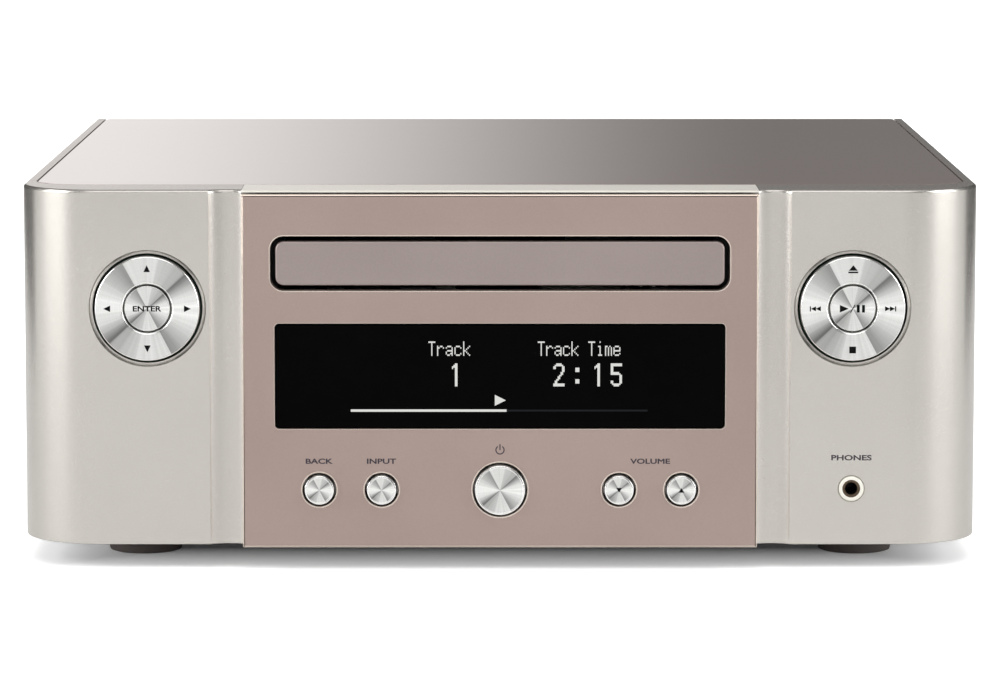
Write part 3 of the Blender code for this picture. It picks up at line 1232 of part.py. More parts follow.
    origin = (SLED_GEAR_X, SLED_GEAR_Y, low)
    half_pitch = 180.0 / SLED_TEETH
    outline = gear_outline(SLED_TEETH, SLED_MODULE, half_pitch, (SLED_GEAR_X, SLED_GEAR_Y))
    gear = solid("sled_gear", outline_mesh("sled_gear", "Z", [outline], low - 3.6, low - 0.5),
                 WHITE_NYLON, origin)
    shaft = bmesh.new()
    add_cylinder(shaft, "Z", (SLED_GEAR_X, SLED_GEAR_Y), 1.0, low - 8.4, low - 3.0, 16)
    join(gear, "shaft", shaft)
    can_top = low - 8.5 - GAP
    turned("sled_motor", [
        (0, can_top), (SLED_MOTOR_RADIUS, can_top),
        (SLED_MOTOR_RADIUS, can_top - SLED_MOTOR_LENGTH), (0, can_top - SLED_MOTOR_LENGTH),
    ], STEEL, "Z", (SLED_GEAR_X, SLED_GEAR_Y), 20)


# ---------------------------------------------------------------------------------------
# Electronics and rear sockets
# ---------------------------------------------------------------------------------------
def make_boards():
    """Main board, power board with its capacitors, the transformer and the heat sink."""
    top = BOARD_Z + BOARD
    outer = PAN_HALF - SHEET - 3.0
    back = PAN_BACK - SHEET - 6.0
    front = WING_BACK + 8
    split = -LOADER_HALF - 2.6
    inner = LOADER_HALF + 3.0
    outline = [
        (-LOADER_HALF, LOADER_BACK + 4), (inner, LOADER_BACK + 4), (inner, front),
        (outer, front), (outer, back), (-LOADER_HALF, back),
    ]
    board = solid("main_board", outline_mesh("main_board", "Z", [outline], BOARD_Z, top),
                  GREEN_BOARD)
    chips = bmesh.new()
    for x, y, wide, deep, tall in CHIPS:
        add_box(chips, (x - wide / 2, y - deep / 2, top - CHIP_SINK),
                (x + wide / 2, y + deep / 2, top + tall))
    join(board, "chips", chips)

    board = box_part("power_board", (-outer, front, BOARD_Z), (split, back, top), GREEN_BOARD)
    middle = (split - outer) / 2
    stores = bmesh.new()
    for y in (-46, -20):
        for x, (radius, tall) in ((middle - 12, BIG_STORE), (middle + 14, SMALL_STORE)):
            add_cylinder(stores, "Z", (x, y), radius, top - CHIP_SINK, top + tall, 20)
    join(board, "capacitors", stores)

    shape = bmesh.new()
    add_box(shape, (middle - 18, 12, top + GAP), (middle + 18, 46, top + 32))
    round_edges(shape, lambda p: p.z > top + 31.9, 2.0, 2)
    transformer = solid("power_transformer", shape, COPPER_TAPE)
    core = bmesh.new()
    add_box(core, (middle - 7, 8, top + 4), (middle + 7, 50, top + 30))
    join(transformer, "core", core)

    sink_x = -LOADER_HALF + 36
    sink = box_part("heatsink", (sink_x - SINK_HALF, 54, top + GAP),
                    (sink_x + SINK_HALF, 88, top + 6), ALUMINIUM)
    fins = bmesh.new()
    reach = SINK_HALF - 2
    for index in range(SINK_FINS):
        x = sink_x - reach + index * 2 * reach / (SINK_FINS - 1)
        add_box(fins, (x - 0.9, 54.2, top + 5), (x + 0.9, 87.8, top + SINK_TALL))
    join(sink, "fins", fins)


def make_mains_inlet():
    """Two-pin mains inlet with its flange and hollow."""
    out = REAR_FACE + GAP
    inlet = box_part("mains_inlet", (INLET_X - INLET_HALF, REAR_FACE - 20, INLET_Z - INLET_TALL),
                     (INLET_X + INLET_HALF, out + 1, INLET_Z + INLET_TALL), BLACK_PLASTIC)
    flange = bmesh.new()
    wide = INLET_HALF + INLET_FLANGE
    tall = INLET_TALL + INLET_FLANGE / 2
    add_box(flange, (INLET_X - wide, out, INLET_Z - tall), (INLET_X + wide, out + 2, INLET_Z + tall))
    join(inlet, "flange", flange)
    hollow = outline_mesh("inlet_hollow", "Y", [rounded_rectangle(
        INLET_X - INLET_HOLLOW, INLET_X + INLET_HOLLOW, INLET_Z - INLET_HOLLOW_TALL,
        INLET_Z + INLET_HOLLOW_TALL, 3.6, 4)], REAR_FACE - 12, out + 5)
    cut(inlet, "hollow", hollow)
    pins = bmesh.new()
    for side in (-1, 1):
        add_cylinder(pins, "Y", (INLET_X + side * PIN_PITCH / 2, INLET_Z), PIN_RADIUS,
                     REAR_FACE - 14, out - 1, 12)
    join(inlet, "pins", pins)


def make_speaker_terminals():
    """Terminal plate with four threaded studs, and their turning caps."""
    out = REAR_FACE + GAP
    wide = SPEAKER_PITCH_X / 2 + SPEAKER_MARGIN
    tall = SPEAKER_PITCH_Z / 2 + SPEAKER_MARGIN
    plate = box_part("speaker_terminals", (SPEAKER_X - wide, REAR_FACE - 8, SPEAKER_Z - tall),
                     (SPEAKER_X + wide, out + 1, SPEAKER_Z + tall), BLACK_PLASTIC)
    flange = bmesh.new()
    add_box(flange, (SPEAKER_X - wide - 5, out, SPEAKER_Z - tall - 4),
            (SPEAKER_X + wide + 5, out + 2.2, SPEAKER_Z + tall + 4))
    join(plate, "flange", flange)
    studs = bmesh.new()
    cap_low = out + 2.2 + GAP
    cap_high = REAR_FACE + TERMINAL_STAND_OUT
    names = (("left_minus", 1, -1), ("left_plus", 1, 1), ("right_minus", -1, -1),
             ("right_plus", -1, 1))
    for name, dx, dz in names:
        x = SPEAKER_X + dx * SPEAKER_PITCH_X / 2
        z = SPEAKER_Z + dz * SPEAKER_PITCH_Z / 2
        add_cylinder(studs, "Y", (x, z), CAP_STUD, out + 1, cap_high - 2.0, 16)
        cap = turned("speaker_cap_" + name, [
            (CAP_STUD + GAP, -cap_high), (CAP_RADIUS, -cap_high), (CAP_RADIUS, -cap_low - 3.0),
            (CAP_SKIRT, -cap_low - 2.6), (CAP_SKIRT, -cap_low), (CAP_STUD + GAP, -cap_low),
        ], BLACK_PLASTIC, "Y", (x, z), 16, cap_low)
        cap.location.y = cap_low * MM
        cap.rotation_euler = (math.radians(-90), 0, 0)
    join(plate, "studs", studs)


def make_sockets():
    """Phono socket block, network socket and antenna socket."""
    out = REAR_FACE + GAP
    inner = REAR_FACE - SHEET - GAP
    half = RCA_PITCH / 2 + RCA_MARGIN
    block = box_part("rca_jacks", (RCA_X - half, inner - 14, RCA_Z - half),
                     (RCA_X + half, inner, RCA_Z + half), GOLD)
    barrels = bmesh.new()
    bores = bmesh.new()
    for dx in (-RCA_PITCH / 2, RCA_PITCH / 2):
        for dz in (-RCA_PITCH / 2, RCA_PITCH / 2):
            place_at = (RCA_X + dx, RCA_Z + dz)
            add_cylinder(barrels, "Y", place_at, RCA_RADIUS, inner - 1, REAR_FACE + 9.5, 16)
            add_cylinder(bores, "Y", place_at, RCA_BORE, REAR_FACE - 1, REAR_FACE + 12, 8)
    join(block, "barrels", barrels)
    cut(block, "bores", bores)

    socket = box_part("network_socket",
                      (NETWORK_X - NETWORK_HALF, inner - 19, NETWORK_Z - NETWORK_TALL),
                      (NETWORK_X + NETWORK_HALF, REAR_FACE + 0.8, NETWORK_Z + NETWORK_TALL), STEEL)
    hollow = bmesh.new()
    add_box(hollow, (NETWORK_X - PORT_HALF, inner - 11, NETWORK_Z - PORT_BOTTOM),
            (NETWORK_X + PORT_HALF, REAR_FACE + 5, NETWORK_Z + PORT_TOP))
    cut(socket, "hollow", hollow)

    half = ANTENNA_HALF
    socket = box_part("antenna_socket", (ANTENNA_X - half, inner - 11, ANTENNA_Z - half),
                      (ANTENNA_X + half, inner, ANTENNA_Z + half), STEEL)
    barrel = bmesh.new()
    add_cylinder(barrel, "Y", (ANTENNA_X, ANTENNA_Z), ANTENNA_RADIUS, inner - 1,
                 REAR_FACE + 11, 16)
    join(socket, "barrel", barrel)
    nut = bmesh.new()
    add_cylinder(nut, "Y", (ANTENNA_X, ANTENNA_Z), 7.2, out, out + 2.2, 6)
    join(socket, "nut", nut)
    bore = bmesh.new()
    add_cylinder(bore, "Y", (ANTENNA_X, ANTENNA_Z), 1.1, REAR_FACE + 3, REAR_FACE + 14, 12)
    cut(socket, "bore", bore)


make_chassis()
make_feet()
make_rear_panel()
make_wing("left_wing", -1, False)
make_wing("right_wing", 1, True)
make_side_panel("left_side_panel", -1)
make_side_panel("right_side_panel", 1)
make_top()
make_trim_bar()
make_centre_panel()
make_subframe()
make_display()
make_front_board()
make_four_way("nav_ring", "nav_ring_carrier", "enter_button", -1)
make_four_way("transport_ring", "transport_ring_carrier", "play_button", 1)
make_buttons()
make_phones_jack()
make_loader_chassis()
make_tray()
make_clamp()
make_loading_drive()
make_traverse()
make_boards()
make_mains_inlet()
make_speaker_terminals()
make_sockets()
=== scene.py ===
"""Looks of the compact CD player: fine outer pieces, finishes, soft studio light and camera."""
import math

import bmesh
import bpy
from mathutils import Matrix, Vector


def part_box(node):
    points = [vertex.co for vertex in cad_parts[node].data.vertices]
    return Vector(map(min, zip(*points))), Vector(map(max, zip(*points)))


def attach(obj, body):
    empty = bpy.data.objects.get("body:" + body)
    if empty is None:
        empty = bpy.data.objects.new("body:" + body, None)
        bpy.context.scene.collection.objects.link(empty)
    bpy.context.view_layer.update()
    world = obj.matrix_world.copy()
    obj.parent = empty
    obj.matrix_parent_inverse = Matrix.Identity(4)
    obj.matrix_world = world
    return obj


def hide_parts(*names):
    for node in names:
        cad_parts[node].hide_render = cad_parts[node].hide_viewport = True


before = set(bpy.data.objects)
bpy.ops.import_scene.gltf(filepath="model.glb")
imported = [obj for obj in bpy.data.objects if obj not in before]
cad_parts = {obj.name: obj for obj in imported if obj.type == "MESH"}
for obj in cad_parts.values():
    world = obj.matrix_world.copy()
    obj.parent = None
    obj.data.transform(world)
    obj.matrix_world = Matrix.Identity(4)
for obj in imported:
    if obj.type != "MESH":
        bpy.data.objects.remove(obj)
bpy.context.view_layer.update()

MM = 0.001
UNIT = "unit"                     # the body that carries everything fixed
SIDES = (("left", -1), ("right", 1))


# ---------------------------------------------------------------------------------------
# Drawing in millimetres
# ---------------------------------------------------------------------------------------
def span(node):
    """Lowest and highest corner of a CAD node, in millimetres."""
    low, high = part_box(node)
    return low / MM, high / MM


def arc(centre, radius, start, end, steps):
    """Points on an arc, its angles in degrees, anticlockwise when end is past start."""
    return [(centre[0] + radius * math.cos(math.radians(start + (end - start) * i / steps)),
             centre[1] + radius * math.sin(math.radians(start + (end - start) * i / steps)))
            for i in range(steps + 1)]


def rounded(left, right, low, high, radius, steps=10):
    """A rectangle with round corners, drawn anticlockwise."""
    corners = ((right - radius, high - radius, 0), (left + radius, high - radius, 90),
               (left + radius, low + radius, 180), (right - radius, low + radius, 270))
    return [point for u, v, turn in corners
            for point in arc((u, v), radius, turn, turn + 90, steps)]


def circle(centre, radius, steps=64):
    """A closed circle, drawn anticlockwise."""
    return arc(centre, radius, 0, 360 - 360 / steps, steps - 1)


def inset_loop(loop, inset):
    """Move a closed outline to its left: an anticlockwise one shrinks, a hole drawn
    clockwise grows."""
    moved = []
    for index, point in enumerate(loop):
        before = Vector(point) - Vector(loop[index - 1])
        after = Vector(loop[(index + 1) % len(loop)]) - Vector(point)
        one = Vector((-before.y, before.x)).normalized()
        two = Vector((-after.y, after.x)).normalized()
        shift = (one + two) * inset / max(0.2, 1 + one.dot(two))
        moved.append((point[0] + shift.x, point[1] + shift.y))
    return moved


def along(axis, u, v, height):
    """Place a flat point and its height: outlines are (x, z) along Y, (x, y) along Z and
    (y, z) along X."""
    return {"X": (height, u, v), "Y": (u, height, v), "Z": (u, v, height)}[axis]


def slab(axis, *rims):
    """A plate of one outline, drawn anticlockwise, and its holes, drawn clockwise. Every rim
    is a loop and its edge profile, a row of (height, inset)."""
    shape = bmesh.new()
    ends = ([], [])
    for loop, levels in rims:
        rings = [[shape.verts.new(along(axis, u, v, height))
                  for u, v in inset_loop(loop, inset)] for height, inset in levels]
        count = len(loop)
        for low, high in zip(rings, rings[1:]):
            for i in range(count):
                shape.faces.new((low[i], low[i - 1], high[i - 1], high[i]))
        for end, ring in zip(ends, (rings[0], rings[-1])):
            end += [shape.edges.get((ring[i], ring[i - 1])) for i in range(count)]
    for end in ends:
        bmesh.ops.triangle_fill(shape, use_beauty=True, edges=end)
    return shape


def turned(profile, steps=96, closed=False):
    """Turn a profile of (radius, height) round the Y axis through the origin."""
    shape = bmesh.new()
    rings = []
    for radius, height in profile:
        if radius == 0:
            rings.append([shape.verts.new((0, height, 0))] * steps)
            continue
        rings.append([shape.verts.new((radius * math.cos(2 * math.pi * i / steps), height,
                                       radius * math.sin(2 * math.pi * i / steps)))
                      for i in range(steps)])
    if closed:
        rings.append(rings[0])
    for low, high in zip(rings, rings[1:]):
        for i in range(steps):
            corners = list(dict.fromkeys((low[i], low[i - 1], high[i - 1], high[i])))
            if len(corners) > 2:
                shape.faces.new(corners)
    return shape


def add_to(shape, extra, shift=(0, 0, 0)):
    """Move a second drawing and add it to the first."""
    bmesh.ops.translate(extra, vec=shift, verts=extra.verts)
    carried = bpy.data.meshes.new("carried")
    extra.to_mesh(carried)
    extra.free()
    shape.from_mesh(carried)
    bpy.data.meshes.remove(carried)
    return shape


def cut(shape, tool):
    """Take the tool's solid out of the shape."""
    holders = []
    for part in (shape, tool):
        bmesh.ops.recalc_face_normals(part, faces=part.faces)
        mesh = bpy.data.meshes.new("cutting")
        part.to_mesh(mesh)
        part.free()
        holder = bpy.data.objects.new("cutting", mesh)
        bpy.context.scene.collection.objects.link(holder)
        holders.append(holder)
    saw = holders[0].modifiers.new("saw", "BOOLEAN")
    saw.operation = "DIFFERENCE"
    saw.solver = "EXACT"
    saw.object = holders[1]
    sawn = holders[0].evaluated_get(bpy.context.evaluated_depsgraph_get())
    result = bmesh.new()
    result.from_mesh(sawn.to_mesh())
    for holder in holders:
        mesh = holder.data
        bpy.data.objects.remove(holder)
        bpy.data.meshes.remove(mesh)
    return result


def block(low, high):
    """A plain cutting block between two corners."""
    return slab("Z", (rounded(low[0], high[0], low[1], high[1], 0.01, 1),
                      ((low[2], 0), (high[2], 0))))


def piece(name, shape, finish, body, stands_for=(), origin=(0, 0, 0), smooth=34,
          chamfer=None):
    """Make the drawing a named piece of one finish, with another on its front chamfers if
    that is given, and let it ride on its body."""
    bmesh.ops.remove_doubles(shape, verts=shape.verts, dist=1e-4)
    bmesh.ops.recalc_face_normals(shape, faces=shape.faces)
    for face in shape.faces:
        face.smooth = True
    for edge in shape.edges:
        edge.smooth = (len(edge.link_faces) == 2
                       and edge.calc_face_angle(0.0) < math.radians(smooth))
    if chamfer:
        for face in shape.faces:
            face.material_index = int(0.25 < -face.normal.y < 0.96)
    mesh = bpy.data.meshes.new(name)
    shape.to_mesh(mesh)
    shape.free()
    mesh.transform(Matrix.Scale(MM, 4))
    made = bpy.data.objects.new(name, mesh)
    made.location = Vector(origin) * MM
    bpy.context.scene.collection.objects.link(made)
    mesh.materials.append(finish)
    if chamfer:
        mesh.materials.append(chamfer)
    shading = made.modifiers.new("even_shading", "WEIGHTED_NORMAL")
    shading.keep_sharp = True
    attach(made, body)
    if stands_for:
        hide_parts(*stands_for)
    return made


# ---------------------------------------------------------------------------------------
# Finishes
# ---------------------------------------------------------------------------------------
def linear(colour):
    """An sRGB hex colour as linear light."""
    parts = (int(colour[i:i + 2], 16) / 255 for i in (1, 3, 5))
    return tuple(p / 12.92 if p <= 0.04045 else ((p + 0.055) / 1.055) ** 2.4
                 for p in parts) + (1.0,)


def add_node(tree, kind, inputs=None, **settings):
    """Add a shader node: its settings, then each input's value or the socket it is fed from."""
    made = tree.nodes.new("ShaderNode" + kind)
    for at, level in settings.pop("stops", ()):
        made.color_ramp.elements.new(at).color = (level, level, level, 1)
    for name, value in settings.items():
        setattr(made, name, value)
    for name, value in (inputs or {}).items():
        if isinstance(value, bpy.types.NodeSocket):
            tree.links.new(value, made.inputs[name])
        else:
            made.inputs[name].default_value = value
    return made


def blank(name):
    """A new empty material, its nodes, and each point's place in metres from the origin of
    its piece."""
    made = bpy.data.materials.new(name)
    made.use_nodes = True
    made.node_tree.nodes.clear()
    tree = made.node_tree
    return made, tree, add_node(tree, "TexCoord").outputs["Object"]


def grained(name, dark, light, grain, depth, rough, metallic=0.0, stretch=(1, 1, 1),
            blotch=40.0, wear=None, **shader):
    """A finish with a fine grain of the given size and depth in mm, slow changes of tone,
    a roughness that follows the grain between two values, and paler or darker worn edges."""
    made, tree, place = blank(name)
    fine = add_node(tree, "Mapping", {
        "Vector": place, "Scale": [1 / (grain * MM * s) for s in stretch]})
    grains = add_node(tree, "TexNoise", {"Vector": fine.outputs[0], "Scale": 1.0,
                                         "Detail": 3.0})
    slow = add_node(tree, "TexNoise", {"Vector": place, "Scale": 1 / (blotch * MM),
                                       "Detail": 2.0})
    tone = add_node(tree, "Mix", {0: 0.45, 2: slow.outputs[0], 3: grains.outputs[0]},
                    data_type="FLOAT")
    spread = add_node(tree, "MapRange", {0: tone.outputs[0], 1: 0.32, 2: 0.68})
    colour = add_node(tree, "Mix", {0: spread.outputs[0], 6: linear(dark), 7: linear(light)},
                      data_type="RGBA").outputs[2]
    if wear:
        round_edge = add_node(tree, "Bevel", {"Radius": 0.35 * MM}, samples=4)
        facing = add_node(tree, "NewGeometry").outputs["Normal"]
        turn = add_node(tree, "VectorMath", {0: round_edge.outputs[0], 1: facing},
                        operation="DOT_PRODUCT")
        rubbed = add_node(tree, "MapRange", {0: turn.outputs["Value"], 1: 0.995, 2: 0.90,
                                             3: 0.0, 4: 0.55})
        colour = add_node(tree, "Mix", {0: rubbed.outputs[0], 6: colour, 7: linear(wear)},
                          data_type="RGBA").outputs[2]
    uneven = add_node(tree, "MapRange", {0: grains.outputs[0], 1: 0.3, 2: 0.7,
                                         3: rough[0], 4: rough[1]})
    relief = add_node(tree, "Bump", {"Height": grains.outputs[0], "Distance": depth * MM,
                                     "Strength": 1.0})
    skin = add_node(tree, "BsdfPrincipled", {
        "Base Color": colour, "Roughness": uneven.outputs[0], "Metallic": metallic,
        "Normal": relief.outputs[0], **shader})
    add_node(tree, "OutputMaterial", {"Surface": skin.outputs[0]})
    return made


# Painted reflection on lathe-faced discs: the share of the colour kept, by bearing over half a
# turn
# from its first sharp edge: a pale sector, a greyer one, a dark edge, then a broad bright lobe
# fading to grey.
PAINTED_REFLECTION_WEDGES = ((0.012, 0.83), (0.222, 0.82), (0.236, 0.70), (0.410, 0.52), (0.424, 0.19),
          (0.55, 0.86), (0.63, 0.98), (0.72, 0.95), (0.86, 0.60), (0.985, 0.36))


def spun(name, dark, light, groove, streaks):
    """Metal faced on a lathe: rings of fine grooves with a drawn-out shine, and painted
    reflection sectors, pale and dark by bearing, multiplied into its colour.
    """
    made, tree, place = blank(name)
    parts = add_node(tree, "SeparateXYZ", {0: place})
    flat = add_node(tree, "CombineXYZ", {0: parts.outputs["X"], 2: parts.outputs["Z"]})
    radius = add_node(tree, "VectorMath", {0: flat.outputs[0]}, operation="LENGTH")
    bearing = add_node(tree, "Math", {0: parts.outputs["X"], 1: parts.outputs["Z"]},
                       operation="ARCTAN2")
    steps = add_node(tree, "Math", {0: radius.outputs["Value"], 1: 1 / (groove * MM)},
                     operation="MULTIPLY")
    grooves = add_node(tree, "TexNoise", {"W": steps.outputs[0], "Scale": 1.0, "Detail": 2.0},
                       noise_dimensions="1D")
    turns = add_node(tree, "Math", {0: bearing.outputs[0], 1: streaks}, operation="MULTIPLY")
    streak = add_node(tree, "TexNoise", {"W": turns.outputs[0], "Scale": 1.0, "Detail": 3.0},
                      noise_dimensions="1D")
    tone = add_node(tree, "Mix", {0: 0.6, 2: grooves.outputs[0], 3: streak.outputs[0]},
                    data_type="FLOAT")
    spread = add_node(tree, "MapRange", {0: tone.outputs[0], 1: 0.3, 2: 0.7})
    metal = add_node(tree, "Mix", {0: spread.outputs[0], 6: linear(dark), 7: linear(light)},
                     data_type="RGBA")
    # Painted reflection: pale and dark sectors by bearing round the centre, multiplied into the
    # colour.
    halves = add_node(tree, "Math", {0: bearing.outputs[0], 1: 1 / math.pi, 2: 28 / 180 + 2.0},
                      operation="MULTIPLY_ADD")
    half = add_node(tree, "Math", {0: halves.outputs[0], 1: 1.0}, operation="MODULO")
    painted_wedge_tone = add_node(tree, "ValToRGB", {0: half.outputs[0]}, stops=PAINTED_REFLECTION_WEDGES)
    for corner, level in ((0, PAINTED_REFLECTION_WEDGES[0][1]), (-1, PAINTED_REFLECTION_WEDGES[-1][1])):
        painted_wedge_tone.color_ramp.elements[corner].color = (level, level, level, 1)
    colour = add_node(tree, "Mix", {0: 1.0, 6: metal.outputs[2], 7: painted_wedge_tone.outputs[0]},
                      data_type="RGBA", blend_type="MULTIPLY")
    relief = add_node(tree, "Bump", {"Height": grooves.outputs[0], "Distance": 0.004 * MM,
                                     "Strength": 1.0})
    around = add_node(tree, "Tangent", direction_type="RADIAL", axis="Y")
    skin = add_node(tree, "BsdfPrincipled", {
        "Base Color": colour.outputs[2], "Metallic": 1.0, "Roughness": 0.30,
        "Anisotropic": 0.92, "Anisotropic Rotation": 0.25, "Tangent": around.outputs[0],
        "Normal": relief.outputs[0]})
    add_node(tree, "OutputMaterial", {"Surface": skin.outputs[0]})
    return made


def lit_display(name, colour, strength):
    """Dot-matrix segments that glow evenly behind the window."""
    made, tree, place = blank(name)
    dots = add_node(tree, "TexVoronoi", {"Vector": place, "Scale": 1 / (0.21 * MM),
                                         "Randomness": 0.0})
    level = add_node(tree, "MapRange", {0: dots.outputs["Distance"], 1: 0.2, 2: 0.8,
                                        3: strength, 4: strength * 0.8})
    glow = add_node(tree, "Emission", {"Color": linear(colour), "Strength": level.outputs[0]})
    add_node(tree, "OutputMaterial", {"Surface": glow.outputs[0]})
    return made


# Satin metallic lacquer sprayed on the front wings and sides: fine flake, soft broad shine.
SILVER = grained("satin_silver_lacquer", "#BDB9B3", "#C6C2BC", 0.35, 0.004, (0.22, 0.28),
                 metallic=0.85, blotch=60.0)
# Bead-blasted, champagne anodised aluminium plate: even, slightly warm, hardly any shine.
TAUPE = grained("blasted_champagne_anodised_aluminium", "#9E8C85", "#A8968F", 0.35, 0.006,
                (0.40, 0.48), metallic=0.75, blotch=50.0)
# The same plate in a cooler bath, so the tray door is a shade more mauve than the panel.
MAUVE = grained("blasted_mauve_anodised_aluminium", "#948885", "#9E928F", 0.35, 0.006,
                (0.38, 0.46), metallic=0.75, blotch=50.0)
# Polished dark acrylic sheet on the lid: a mirror at low angles, with faint flatness waves.
ACRYLIC_TOP = grained("polished_taupe_acrylic", "#8F7468", "#957A6E", 9.0, 0.002,
                      (0.03, 0.05), blotch=120.0,
                      **{"Coat Weight": 1.0, "Coat Roughness": 0.02})
# Polished black acrylic of the display window: deep black with a clean reflection.
BLACK_WINDOW = grained("polished_black_acrylic", "#020202", "#040404", 6.0, 0.001,
                       (0.03, 0.05), **{"Specular IOR Level": 0.02})
# Aluminium faced on a lathe for the rings and caps. The real grooves are 0.05 mm apart.
# They are drawn 0.28 mm apart, so that they show.
# Its pale and dark sectors are painted reflection in its colour.
SPUN = spun("lathe_faced_aluminium_painted_wedges", "#E2E2DF", "#F6F6F4", 0.28, 9.0)
# Diamond-cut chamfers: a mirror-bright fine cut on the edges of the metal and of the panel.
BRIGHT_CUT = grained("diamond_cut_aluminium", "#E9E9E6", "#FAFAF8", 0.3, 0.001, (0.16, 0.22),
                     metallic=1.0)
WARM_CUT = grained("diamond_cut_champagne_aluminium", "#CDBFB3", "#DCCFC4", 0.3, 0.001,
                   (0.20, 0.28), metallic=1.0)
# Moulded ABS of the chassis mouldings: spark-eroded texture, dull sheen, rubbed edges.
BLACK_ABS = grained("moulded_black_abs", "#151515", "#1E1E1F", 0.5, 0.02, (0.42, 0.55),
                    wear="#3A3A3B")
# Moulded acetal of the gears and carriers: waxy mid grey with a low, even sheen.
GREY_POM = grained("moulded_grey_acetal", "#6E7072", "#7C7E80", 0.6, 0.01, (0.35, 0.45),
                   wear="#9A9C9E")
# Moulded white nylon: milky and slightly warm, with a soft sheen.
WHITE_NYLON = grained("moulded_white_nylon", "#D9D6CB", "#E6E3D9", 0.6, 0.01, (0.35, 0.48),
                      wear="#F2F0E8")
# Soft rubber feet from a blasted mould: matt brown-black with a dusty bloom.
RUBBER = grained("moulded_black_rubber", "#5C5552", "#6C6460", 0.4, 0.03, (0.6, 0.75),
                 wear="#4A4240")
# Zinc-plated sheet: cool grey metal with a slight spangle.
ZINC = grained("zinc_plated_steel", "#8D9093", "#B4B7BA", 2.4, 0.004, (0.28, 0.45),
               metallic=1.0, wear="#D5D7D9")
# Powder-coated rear sheet: fine orange-peel in near black.
BLACK_STEEL = grained("powder_coated_steel", "#111112", "#19191A", 0.9, 0.03, (0.45, 0.58),
                      wear="#3C3C3D")
# Extruded aluminium heatsink: long die lines along the fins.
EXTRUDED = grained("extruded_aluminium", "#9FA2A5", "#B9BCBE", 0.5, 0.01, (0.3, 0.45),
                   metallic=1.0, stretch=(1, 1, 14), wear="#D9DBDC")
# Gold-plated brass of the phono sockets: a warm, sharp shine.
GOLD = grained("gold_plated_brass", "#C9A04B", "#DDB866", 0.5, 0.002, (0.16, 0.26),
               metallic=1.0)
# Tinned phosphor bronze inside the headphone socket: dull brown metal.
BRONZE = grained("tinned_phosphor_bronze", "#4E4236", "#6A5C4C", 0.5, 0.002, (0.25, 0.35),
                 metallic=1.0)
# Clear lacquer over pale cream on the trim strip: the pale colour is a painted highlight, so it
# is pale from every side.
PALE_TRIM_PAINTED_HIGHLIGHT = grained("cream_lacquer_painted_highlight", "#CFCBC2", "#D9D6CE", 0.35, 0.004, (0.30, 0.38),
                blotch=60.0)
# Moulded red and white ABS of the terminals: the same spark-eroded texture as the black.
RED_ABS = grained("moulded_red_abs", "#8A1712", "#9C221C", 0.5, 0.02, (0.40, 0.52),
                  wear="#C4574E")
WHITE_ABS = grained("moulded_white_abs", "#D2D0CA", "#DEDCD7", 0.5, 0.02, (0.40, 0.52),
                    wear="#ECEAE6")
# Ground rubber drive belt: dead matt black.
BELT = grained("ground_rubber_belt", "#161616", "#222222", 0.3, 0.02, (0.6, 0.75))
# Yellow polyester tape wound round the transformer: thin glossy turns, one over another.
TAPE = grained("transformer_polyester_tape", "#B5912C", "#CBA63C", 3.0, 0.03, (0.25, 0.4),
               stretch=(6, 6, 1))
# Green solder mask on a circuit board: glossy lacquer over raised copper tracks.
BOARD = grained("green_solder_mask", "#0F3B22", "#1A5030", 1.6, 0.03, (0.25, 0.4),
                stretch=(1, 3, 1))
# Pad-printed and screen-printed legend inks: thin, flat and nearly without shine.
DARK_INK = grained("black_pad_print", "#040404", "#080808", 0.2, 0.004, (0.5, 0.6),
                  **{"Specular IOR Level": 0.1})
GREY_INK = grained("grey_violet_screen_print", "#3A353C", "#443E45", 0.2, 0.004, (0.5, 0.6),
                  **{"Specular IOR Level": 0.1})
WHITE_INK = grained("white_screen_print", "#C9C9C6", "#DADAD7", 0.2, 0.004, (0.5, 0.6))
# Segments of the display: lit ones glow a neutral white, unlit ones a faint grey.
BRIGHT_DOTS = lit_display("display_bright_segments", "#E9EAE6", 0.95)
DIM_DOTS = lit_display("display_dim_segments", "#26282A", 0.9)

SLOT_FINISHES = {
    "silver_paint": SILVER, "taupe_panel": TAUPE, "mauve_door": MAUVE,
    "gloss_top": ACRYLIC_TOP, "black_window": BLACK_WINDOW, "spun_aluminium": SPUN,
    "black_plastic": BLACK_ABS, "grey_plastic": GREY_POM, "foot_rubber": RUBBER,
    "zinc_steel": ZINC, "black_steel": BLACK_STEEL, "circuit_board": BOARD,
    "extruded_aluminium": EXTRUDED, "phono_gold": GOLD, "belt_rubber": BELT,
    "white_nylon": WHITE_NYLON, "transformer_tape": TAPE,
}
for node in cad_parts.values():
    for place, old in enumerate(node.data.materials):
        node.data.materials[place] = SLOT_FINISHES[old.name.split(".")[0]]


# ---------------------------------------------------------------------------------------
# Casing
# ---------------------------------------------------------------------------------------
SHELL = 2.4                       # wall of the moulded wings
CORNER = 24.0                     # radius of the wings' front corners
COVE_DEPTH = 1.9                  # hollow channel beside the panel, at its deepest line
COVE_FLAT = 5.4                   # from the channel's sharp edge to that line
COVE_X = 79.0                     # that line, from the middle of the player
PLATE_CORNER = 13.5               # radius of the top plate's front corners
PLATE_GAP = 0.3                   # gap between the top plate and the wings
RING_HOLE = 15.9                  # radius of the hole that a ring sits in
RING_LIP = 17.15                  # outer edge of the soft recess round a ring
JACK_BORE = 3.75                  # radius of the hole that the headphone socket sits in
CAP_GAP = 0.5                     # gap round a push cap
DOOR_CORNER = 2.4                 # radius of the tray door's corners
DOOR_GAP = 1.4                    # gap round the tray door
WINDOW_CORNER = 1.0               # radius of the display window's corners
WINDOW_GAP = 0.3                  # gap round the display window

